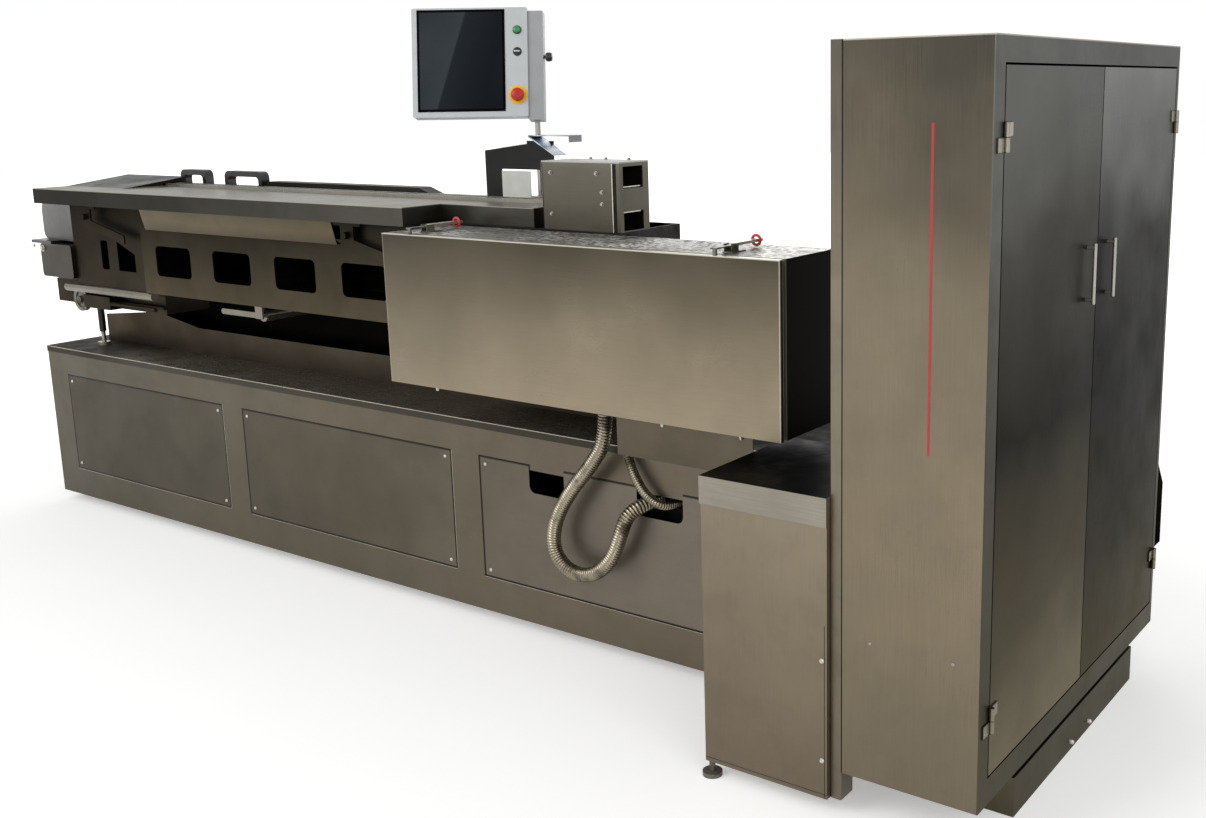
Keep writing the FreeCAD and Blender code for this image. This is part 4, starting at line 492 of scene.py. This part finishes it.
# Infeed slide: the light and dark bands across it are painted chrome reflections.
slide_chrome = brushed("slide_chrome", ((0.0, (124, 132, 144)), (0.18, (206, 214, 224)),
                                        (0.32, (126, 133, 144)), (0.45, (186, 192, 200)),
                                        (1.0, (118, 118, 120))),
                       along="x", span=(slide_low.x, slide_high.x), grain="y", rough=0.2)
paint(taupe_cover, "drive_cover")
paint(taupe_front, "cabinet_walls", "cabinet_roof_and_floor")
paint(post_steel, "corner_posts")
paint(near_door_reflected_tones, "door_front")
paint(far_door_reflected_tones, "door_rear")
paint(frame_steel, "door_frame", "cabinet_plinth")
paint(panel_steel, "base_panels", "base_rear_panels")
paint(base_steel, "base_front_frame", "base_back_wall")
paint(top_dirt_and_shade, "base_top")
paint(pedestal_steel, "pedestal_body")
paint(cap_steel, "pedestal_cap")
paint(dark_steel, "beam_front_plate", "beam_back_plate", "skirt_clamps")
paint(tail_steel, "tail_plate", "tail_beam")
paint(box_steel, "tail_box")
paint(table_steel, "table_top", "table_covers")
paint(beige_sheet, "deflector")
paint(shadow_black, "beam_cross_plates", "hose_bracket")
paint(cowl_steel, "fan_cowl")
paint(guard_steel, "chute_guard")
paint(trough_steel, "raised_pan")
paint(drive_steel, "drive_body")
paint(support_steel, "drive_support")
paint(housing_steel, "transfer_housing", "housing_side_frame")
paint(slide_chrome, "infeed_slide")


# Finishes of rods, fittings and small parts

bright_steel = brushed("bright_steel", ((0.0, (138, 135, 127)), (1.0, (168, 165, 158))),
                       span=(0.0, 1.9), grain="z", rough=0.28, patches=0.08)
rail_steel = brushed("rail_steel", ((0.0, (112, 107, 97)), (1.0, (132, 127, 117))),
                     span=(0.9, 1.4), grain="x", rough=0.3, patches=0.16)
hinge_steel = brushed("hinge_steel", ((0.0, (128, 123, 104)), (1.0, (146, 142, 126))),
                      span=(0.2, 1.7), grain="z", rough=0.3)
foot_steel = brushed("foot_steel", ((0.0, (176, 171, 158)), (0.16, (150, 145, 132)),
                                    (0.22, (44, 41, 36)), (1.0, (36, 34, 30))),
                     span=(foot_low.z, foot_high.z), grain="z", rough=0.3, patches=0.2)
# Pale steel: the latch levers' own tone, and the painted highlights of the thin edge strips.
highlight_and_pale_steel = brushed("highlight_and_pale_steel", ((0.0, (178, 170, 152)), (1.0, (206, 202, 192))),
                      span=(0.0, 1.9), grain="x", rough=0.3)
screw_steel = moulded("screw_steel", (196, 193, 184), rough=0.3, metallic=0.7)
dull_zinc = soiled("zinc", (118, 114, 105), (66, 62, 55), scale=30.0, rough=0.4)
seam_dark = soiled("seam_dark", SEAM, (18, 17, 14), scale=30.0, rough=0.6)
hose_steel = soiled("hose_steel", (154, 145, 127), (82, 75, 64), scale=16.0, cut=(0.5, 0.66),
                    rough=0.28, metallic=0.95)
paint(bright_steel, "handle_front", "handle_rear", "guide_rails", "panel_post")
paint(rail_steel, "tail_rail", "idler_roller")
paint(foot_steel, "beam_feet")
paint(highlight_and_pale_steel, "latch_lever_left", "latch_lever_right")
paint(dull_zinc, "tail_wheel", "latch_bases", "hose_glands", "levelling_feet")


# Paints and plastics

grey_paint = moulded("grey_paint", (192, 196, 197), rough=0.42, grain=600.0, wear=0.04)
side_paint = moulded("side_paint", (158, 161, 162), rough=0.45, grain=600.0, wear=0.05)
red_paint = moulded("red_paint", (176, 44, 48), rough=0.45)
gloss_black = moulded("gloss_black", (18, 18, 18), rough=0.22)
black_plastic = moulded("black_plastic", (26, 26, 27), rough=0.42)
pale_plastic = moulded("pale_plastic", (204, 206, 200), rough=0.5)
green_plastic = moulded("green_plastic", (20, 140, 70), rough=0.25)
red_plastic = moulded("red_plastic", (182, 12, 4), rough=0.36)
yellow_plastic = moulded("yellow_plastic", (240, 188, 14), rough=0.5)
grip_red = moulded("grip_red", (202, 58, 58), rough=0.3)
screen_black = moulded("screen_black", (3, 3, 4), rough=0.6)
border_shader = screen_black.node_tree.nodes["Principled BSDF"]
border_shader.inputs["Specular IOR Level"].default_value = 0.03
# Screen: the lighter slanting band is a painted reflection.
screen_glass = glass("screen_glass", 0.04, ((0.0, (38, 43, 49)), (0.52, (56, 61, 66)),
                                            (0.54, (32, 37, 43)), (1.0, (20, 24, 30))),
                     lean=0.305, span=(-0.50, -0.20))
paint(grey_paint, "panel_case")
paint(side_paint, "panel_side_box")
paint(gloss_black, "lift_handles")
paint(black_plastic, "clamp_knob", "selector_knob", "panel_screen")
paint(pale_plastic, "splash_plate")
paint(green_plastic, "start_button")
paint(red_plastic, "stop_button")
paint(yellow_plastic, "stop_collar")


# Screws, bolts and studs

FRONT = (0, -1, 0)
REAR = (0, 1, 0)
LEFT = (-1, 0, 0)
RIGHT = (1, 0, 0)
UP = (0, 0, 1)
DOWN = (0, 0, -1)
SMALL_SCREW = ((0.0044, 0.0), (0.0044, 0.0009), (0.0034, 0.0020), (0.0, 0.0024))
SCREW = ((0.0064, 0.0), (0.0064, 0.0012), (0.0052, 0.0028), (0.0032, 0.0034), (0.0024, 0.0024),
         (0.0, 0.0022))
NUB = ((0.006, 0.0), (0.006, 0.008), (0.004, 0.011), (0.0, 0.011))


def screws(name, places, normal, profile=SCREW, material=screw_steel):
    form = bmesh.new()
    for place in places:
        turned(form, profile, facing(place, normal), 16)
    finish_piece(name, form, "frame", material)


def hex_bolt(form, place, across, high):
    """Adds a washer with a hexagon head on it."""
    washer = high * 0.2
    turned(form, ((across * 0.75, 0.0), (across * 0.75, washer), (across * 0.7, high * 0.22)),
           place, 20)
    turned(form, ((across * 0.57, 0.0), (across * 0.57, high * 0.7), (across * 0.48, high * 0.8),
                  (0.0, high * 0.8)), place @ Matrix.Translation((0, 0, washer)), 6)


PANEL_SCREW_ACROSS = 0.028
PANEL_SCREW_UP = 0.026
for name, y, normal in (("front_panel_screws", panels_low.y, FRONT),
                        ("rear_panel_screws", rear_high.y, REAR)):
    screws(name, [Vector((x, y, z)) for start, end in PANELS
                  for x in (start + PANEL_SCREW_ACROSS, end - PANEL_SCREW_ACROSS)
                  for z in (panels_low.z + PANEL_SCREW_UP, panels_high.z - PANEL_SCREW_UP)],
           normal)
screws("pedestal_screws", [Vector((pedestal_high.x - 0.014, pedestal_low.y, z))
                           for z in (0.401, 0.142)], FRONT)
screws("cabinet_screws", [spot_at(s, 0, 467) for s in (4276, 4487)], FRONT,
       profile=SMALL_SCREW, material=bright_steel)

FRONT_BOLTS = ((0.035, -0.035), (0.215, -0.035), (0.235, -0.09), (0.235, -0.125), (0.035, -0.16))
TOP_BOLTS = (0.09, 0.15, 0.24)
form = bmesh.new()
for across, up in FRONT_BOLTS:
    hex_bolt(form, facing(Vector((housing_low.x + across, housing_low.y, housing_high.z + up)),
                          FRONT), 0.009, 0.006)
hex_bolt(form, facing(Vector((housing_low.x, housing_low.y + 0.02, housing_high.z - 0.075)),
                      LEFT), 0.010, 0.014)
for across in TOP_BOLTS:
    hex_bolt(form, facing(Vector((housing_low.x + across, housing_high.y - 0.012,
                                  housing_high.z)), UP), 0.009, 0.006)
finish_piece("housing_bolts", form, "frame", bright_steel)

BRACKET_FOOT = 1.17
box_corners = [vertex.co for vertex in frame["nodes"]["tail_box"].data.vertices
               if vertex.co.z < BRACKET_FOOT]
box_left = min(corner.x for corner in box_corners)
box_front = min(corner.y for corner in box_corners)
form = bmesh.new()
hex_bolt(form, facing(Vector((box_left + 0.085, box_front, 1.142)), FRONT), 0.018, 0.010)
hex_bolt(form, facing(Vector((box_left + 0.020, box_front, 1.150)), FRONT), 0.010, 0.006)
finish_piece("tail_bolts", form, "frame", screw_steel)

screws("drive_nubs", [spot_at(s, 192, 859) for s in (2671, 3537, 3794)], DOWN, profile=NUB)
screws("plinth_studs", [Vector((plinth_high.x, FRONT_LINE + t * MM, 0.026)) for t in (609, 747)],
       RIGHT, profile=NUB)


# Painted highlights on folded edges, and dark seams between sheets, as thin strips

SKIN = 0.0002


def front_strip(form, across, y, up):
    slab(form, (across[0], y - SKIN, up[0]), (across[1], y, up[1]))


def right_strip(form, x, deep, up):
    slab(form, (x, deep[0], up[0]), (x + SKIN, deep[1], up[1]))


WINDOW_SILLS = (1.3890, 1.4635)
WINDOW_DEEP = (-0.2015, -0.1195)
PEDESTAL_SEAM_TOP = 0.491
housing_rise = (housing_low.z, housing_high.z - 0.006)
form = bmesh.new()
front_strip(form, (top_low.x, top_high.x), top_low.y, (top_high.z - 0.0025, top_high.z - 0.0005))
for start, end in PANELS:
    front_strip(form, (end + 0.0015, end + 0.0030), panels_low.y, (panels_low.z, panels_high.z))
    front_strip(form, (start, end), panels_low.y, (panels_low.z - 0.0030, panels_low.z - 0.0015))
front_strip(form, (housing_high.x - 0.024, housing_high.x - 0.021), housing_low.y, housing_rise)
for sill in WINDOW_SILLS:
    right_strip(form, housing_high.x, WINDOW_DEEP, (sill, sill + 0.003))
finish_piece("edge_highlights", form, "frame", highlight_and_pale_steel, smooth=False)

form = bmesh.new()
front_strip(form, (pedestal_high.x - 0.0075, pedestal_high.x - 0.0060), pedestal_low.y,
            (pedestal_low.z, PEDESTAL_SEAM_TOP))
front_strip(form, (pedestal_low.x, pedestal_high.x), pedestal_low.y,
            (pedestal_low.z + 0.0105, pedestal_low.z + 0.0120))
right_strip(form, drive_high.x, (drive_low.y + 0.004, drive_high.y - 0.003),
            (drive_low.z, drive_high.z - 0.003))
front_strip(form, (housing_high.x - 0.020, housing_high.x - 0.007), housing_low.y, housing_rise)
front_strip(form, (housing_low.x, housing_low.x + 0.003), housing_low.y, housing_rise)
front_strip(form, (cabinet_low.x, cabinet_low.x + 0.0025), FRONT_LINE,
            (cabinet_low.z, cabinet_high.z))
finish_piece("seam_lines", form, "frame", seam_dark, smooth=False)


# Worn hinges: bright sleeves over the knuckles and bright leaves, frame half below door half

HINGE_LEVELS = (0.295, 1.601)
HINGE_SHEET = 0.003
HALF = 0.032
KNUCKLE = 0.0062
SLEEVE_GAP = 0.0015
DOOR_LEAF = 0.040
joints = {joint["name"]: joint for joint in frame["record"]["behaviour"]["joints"]}
for side, way, frame_leaf in (("front", 1, 0.040), ("rear", -1, 0.020)):
    axis_x, axis_y = joints[f"{side}_door_hinge"]["pos_m"][:2]
    face = axis_x - 0.006 + HINGE_SHEET
    for body, toward, leaf, start in (("frame", -way, frame_leaf, 0.0),
                                      (f"{side}_door", way, DOOR_LEAF, HALF)):
        near, far = sorted((axis_y + toward * 0.007, axis_y + toward * (leaf - SLEEVE_GAP)))
        form = bmesh.new()
        for level in HINGE_LEVELS:
            turned(form, ((KNUCKLE, SLEEVE_GAP), (KNUCKLE, HALF - SLEEVE_GAP)),
                   Matrix.Translation((axis_x, axis_y, level + start)), 20)
            slab(form, (face, near, level + start + 0.002),
                 (face + 0.0004, far, level + start + HALF - 0.002))
        finish_piece(f"{body}_hinge_faces_{side}", form, body, hinge_steel)


# Red stripe on the cabinet's front

STRIPE_WIDE = 0.006
STRIPE_HIGH = 0.722
STRIPE_THICK = 0.0004
stripe = spot_at(4415, 0, 942)
form = bmesh.new()
slab(form, stripe + Vector((0, -STRIPE_THICK, 0)), stripe + Vector((STRIPE_WIDE, 0, STRIPE_HIGH)))
finish_piece("cabinet_stripe", form, "frame", red_paint, smooth=False)


# Hoses

LARGE_ROUTE = (
    (0.932, -0.3505, 0.837), (0.932, -0.3505, 0.735), (0.861, -0.3445, 0.642),
    (0.769, -0.3385, 0.545), (0.695, -0.3325, 0.435), (0.683, -0.3305, 0.338),
    (0.749, -0.3305, 0.278), (0.847, -0.3305, 0.288), (0.923, -0.3305, 0.356),
    (0.957, -0.3305, 0.440), (0.979, -0.3225, 0.506), (1.017, -0.2805, 0.536),
    (1.029, -0.2150, 0.536),
)
SMALL_ROUTE = (
    (0.943, -0.2885, 0.837), (0.943, -0.2885, 0.760), (0.961, -0.2945, 0.692),
    (0.996, -0.3045, 0.622), (1.041, -0.3045, 0.565), (1.086, -0.2785, 0.532),
    (1.097, -0.2135, 0.530),
)
RIB_HEIGHTS = (0.0, 0.82, 1.0, 0.82)
GROOVE_SHARE = 0.13


def centreline(name, route):
    """Points along the smooth line that a route's control points give."""
    curve = bpy.data.curves.new(name, "CURVE")
    curve.dimensions = "3D"
    curve.resolution_u = 32
    spline = curve.splines.new("NURBS")
    spline.points.add(len(route) - 1)
    for point, place in zip(spline.points, route):
        point.co = (*place, 1.0)
    spline.order_u = 3
    spline.use_endpoint_u = True
    guide = bpy.data.objects.new(name, curve)
    bpy.context.collection.objects.link(guide)
    mesh = bpy.data.meshes.new_from_object(guide)
    points = [vertex.co.copy() for vertex in mesh.vertices]
    bpy.data.objects.remove(guide)
    return points


def resampled(points, step):
    """The same line at even steps, with both ends kept, and its length."""
    total = sum((b - a).length for a, b in zip(points, points[1:]))
    count = max(2, round(total / step))
    spacing = total / count
    result = [points[0]]
    travelled = 0.0
    for start, end in zip(points, points[1:]):
        length = (end - start).length
        while length > 0 and spacing * len(result) <= travelled + length + 1e-9 \
                and len(result) < count:
            share = (spacing * len(result) - travelled) / length
            result.append(start.lerp(end, share))
        travelled += length
    result.append(points[-1])
    return result, total


def ribbed_hose(name, route, diameter, pitch, sides=20):
    """A wound metal hose: rounded ribs a pitch apart with narrow grooves between them."""
    steps = len(RIB_HEIGHTS)
    depth = GROOVE_SHARE * diameter / 2
    points, total = resampled(centreline(name + "_line", route), pitch / steps)
    form = bmesh.new()
    up = Vector((0, 1, 0))
    rings = []
    for index, point in enumerate(points):
        ahead = points[min(index + 1, len(points) - 1)]
        behind = points[max(index - 1, 0)]
        along = (ahead - behind).normalized()
        side = along.cross(up).normalized()
        up = side.cross(along).normalized()
        radius = diameter / 2 - depth * (1 - RIB_HEIGHTS[index % steps])
        rings.append([form.verts.new(point + (side * math.cos(a) + up * math.sin(a)) * radius)
                      for a in (2 * math.pi * k / sides for k in range(sides))])
    for low, high in zip(rings, rings[1:]):
        for step in range(sides):
            following = (step + 1) % sides
            form.faces.new((low[step], low[following], high[following], high[step]))
    form.faces.new(list(reversed(rings[0])))
    form.faces.new(rings[-1])
    bmesh.ops.recalc_face_normals(form, faces=form.faces)
    return finish_piece(name, form, "frame", hose_steel), points, total


for label, route, across, pitch in (("hose_large", LARGE_ROUTE, 0.046, 0.0092),
                                    ("hose_small", SMALL_ROUTE, 0.030, 0.0072)):
    hose, line, length = ribbed_hose(label + "_ribbed", route, across, pitch)
    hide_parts(label)


# Operator panel, in its own frame: across, into depth and up from the swivel

PANEL_TURN = math.radians(34)
PANEL_TIP = math.radians(-11)
QUARTER = math.radians(90)
PANEL = (Matrix.Translation(Vector(joints["panel_swivel"]["pos_m"]))
         @ Matrix.Rotation(PANEL_TURN, 4, "Z") @ Matrix.Rotation(PANEL_TIP, 4, "X"))
SCREEN_LOW = Vector((-0.3925, -0.031, 0.035))
SCREEN_HIGH = Vector((-0.1005, -0.029, 0.373))
BORDER = 0.0085
CASE_FACE = -0.029
COLUMN = -0.0595
START_UP = 0.304
SELECTOR_UP = 0.232
STOP_UP = 0.088


def panel_piece(name, body, form, material, replaced=None):
    piece = finish_piece(name, form, body, material, at=PANEL)
    if replaced:
        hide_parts(replaced)


def on_column(up):
    """A place on the buttons' column whose Z axis points out of the panel."""
    return Matrix.Translation((COLUMN, CASE_FACE, up)) @ Matrix.Rotation(QUARTER, 4, "X")


def button(name, body, profile, up, material, replaced=None, sides=32):
    form = bmesh.new()
    turned(form, profile, on_column(up), sides)
    panel_piece(name, body, form, material, replaced)


def column_bar(form, half, out, up, radius):
    """Adds a rounded bar across the column; out and up are its ranges."""
    slab(form, (COLUMN - half, CASE_FACE - out[1], up[0]),
         (COLUMN + half, CASE_FACE - out[0], up[1]), radius)


form = bmesh.new()
slab(form, SCREEN_LOW, SCREEN_HIGH, 0.0006)
panel_piece("screen_border", "operator_panel", form, screen_black,
            "panel_screen")
form = bmesh.new()
slab(form, SCREEN_LOW + Vector((BORDER, -0.0004, BORDER)),
     SCREEN_HIGH + Vector((-BORDER, -0.0016, -BORDER)), 0.0003)
panel_piece("screen_display", "operator_panel", form, screen_glass)

RING = ((0.0145, 0.0), (0.0145, 0.0016), (0.0125, 0.0024))
button("start_ring", "operator_panel", RING + ((0.0118, 0.0006),), START_UP, black_plastic)
button("start_cap", "start", ((0.0100, -0.006), (0.0100, 0.0042), (0.0116, 0.0044),
                              (0.0114, 0.0075), (0.0095, 0.0088), (0.0, 0.0092)),
       START_UP, green_plastic, "start_button")

button("selector_ring", "operator_panel", RING + ((0.0118, 0.0004),), SELECTOR_UP,
       black_plastic)
form = bmesh.new()
turned(form, ((0.0100, -0.006), (0.0100, 0.0006), (0.0116, 0.0008), (0.0114, 0.0030),
              (0.0108, 0.0034), (0.0, 0.0034)), on_column(SELECTOR_UP), 32)
column_bar(form, 0.0105, (0.002, 0.0088), (0.2290, 0.2350), 0.0009)
panel_piece("selector_grip", "selector", form, black_plastic, "selector_knob")
form = bmesh.new()
column_bar(form, 0.0100, (0.0086, 0.0095), (0.2298, 0.2342), 0.0004)
panel_piece("selector_mark", "selector", form, pale_plastic)

button("stop_plate", "operator_panel", ((0.0310, 0.0), (0.0310, 0.0014), (0.0295, 0.0020),
                                        (0.0150, 0.0020), (0.0150, 0.0)),
       STOP_UP, yellow_plastic, "stop_collar", 40)
button("stop_head", "stop", ((0.0100, -0.006), (0.0100, 0.0064), (0.0187, 0.0068),
                             (0.0215, 0.0090), (0.0220, 0.0130), (0.0205, 0.0168),
                             (0.0154, 0.0196), (0.0077, 0.0208), (0.0, 0.0210)),
       STOP_UP, red_plastic, "stop_button", 40)

form = bmesh.new()
turned(form, ((0.006, 0.0), (0.006, 0.007), (0.012, 0.0085), (0.0148, 0.013), (0.0150, 0.022),
              (0.0125, 0.0285), (0.006, 0.030), (0.0, 0.030)),
       Matrix.Translation((0.0245, -0.012, 0.216)) @ Matrix.Rotation(QUARTER, 4, "Y"), 28)
panel_piece("side_knob", "operator_panel", form, black_plastic, "clamp_knob")


# Cover latches: a red ring and shank at each lever's end

for side in ("left", "right"):
    low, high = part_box(f"latch_lever_{side}")
    middle = (low.x + high.x) / 2
    form = bmesh.new()
    ring(form, 0.013, 0.0042, Matrix.Translation((middle, high.y - 0.018, high.z - 0.004))
         @ Matrix.Rotation(QUARTER, 4, "X"))
    slab(form, (middle - 0.005, high.y - 0.046, high.z - 0.009),
         (middle + 0.005, high.y - 0.020, high.z + 0.001), 0.002)
    finish_piece(f"latch_grip_{side}", form, f"{side}_latch", grip_red)


# Floor, light and camera

FLOOR_REACH = 30.0


def plainly_seen(tree):
    """One for rays from the camera, from gloss and through glass, and nought for the rest."""
    path = node(tree, "LightPath").outputs
    seen = math_node(tree, "MAXIMUM", path["Is Camera Ray"], path["Is Glossy Ray"])
    return math_node(tree, "MAXIMUM", seen, path["Is Transmission Ray"])


def pale_stage():
    """A floor that stays pale in view and in reflections, and still takes the shadow."""
    material, tree, shader, spot = fresh("pale_floor", 0.0, 0.9)
    faint = spread(tree, noise(tree, spot, 1.5, 3.0), 0.98, 1.0)
    link(tree, times(tree, (0.86, 0.86, 0.85, 1.0), faint), shader.inputs["Base Color"])
    shader.inputs["Specular IOR Level"].default_value = 0.1
    away = node(tree, "VectorMath", {0: spot}, operation="LENGTH").outputs["Value"]
    glow = spread(tree, away, 0.36, 1.0, 2.5, 7.0)
    shader.inputs["Emission Color"].default_value = (1.0, 1.0, 1.0, 1.0)
    link(tree, math_node(tree, "MULTIPLY", plainly_seen(tree), glow),
         shader.inputs["Emission Strength"])
    mesh = bpy.data.meshes.new("floor")
    mesh.from_pydata([(FLOOR_REACH * x, FLOOR_REACH * y, 0)
                      for x, y in ((-1, -1), (1, -1), (1, 1), (-1, 1))], [], [(0, 1, 2, 3)])
    mesh.materials.append(material)
    floor = bpy.data.objects.new("floor", mesh)
    bpy.context.collection.objects.link(floor)


def world_light(level):
    """White where it is seen, and of the given level as a source of light."""
    world = bpy.data.worlds.new("studio")
    bpy.context.scene.world = world
    world.use_nodes = True
    tree = world.node_tree
    back = tree.nodes["Background"]
    back.inputs["Color"].default_value = (1.0, 1.0, 1.0, 1.0)
    link(tree, spread(tree, plainly_seen(tree), level, 1.0, 0.0, 1.0), back.inputs["Strength"])


def soft_lamp(name, place, aim, size, watts):
    lamp = bpy.data.lights.new(name, "AREA")
    lamp.shape = "RECTANGLE"
    lamp.size, lamp.size_y = size
    lamp.energy = watts
    holder = bpy.data.objects.new(name, lamp)
    bpy.context.collection.objects.link(holder)
    holder.matrix_world = facing(place, Vector(place) - Vector(aim))


pale_stage()
world_light(0.55)
soft_lamp("key", (-1.5, -5.5, 4.5), (0.3, 0.0, 0.8), (4.0, 3.0), 170)
soft_lamp("fill", (5.5, -3.0, 3.5), (0.5, 0.0, 0.8), (3.0, 3.0), 60)
soft_lamp("back", (-1.0, 6.0, 3.6), (0.0, 0.0, 0.7), (4.0, 3.0), 110)

lens = bpy.data.cameras.new("camera")
lens.lens = 38.725
lens.sensor_width = 36.0
lens.shift_x = -0.1098
lens.shift_y = -0.0422
camera = bpy.data.objects.new("camera", lens)
bpy.context.collection.objects.link(camera)
camera.location = (3.3279, -3.1934, 1.7308)
camera.rotation_euler = (1.36938, 0.01476, 0.59382)
bpy.context.scene.camera = camera
bpy.context.scene.view_settings.view_transform = "Standard"
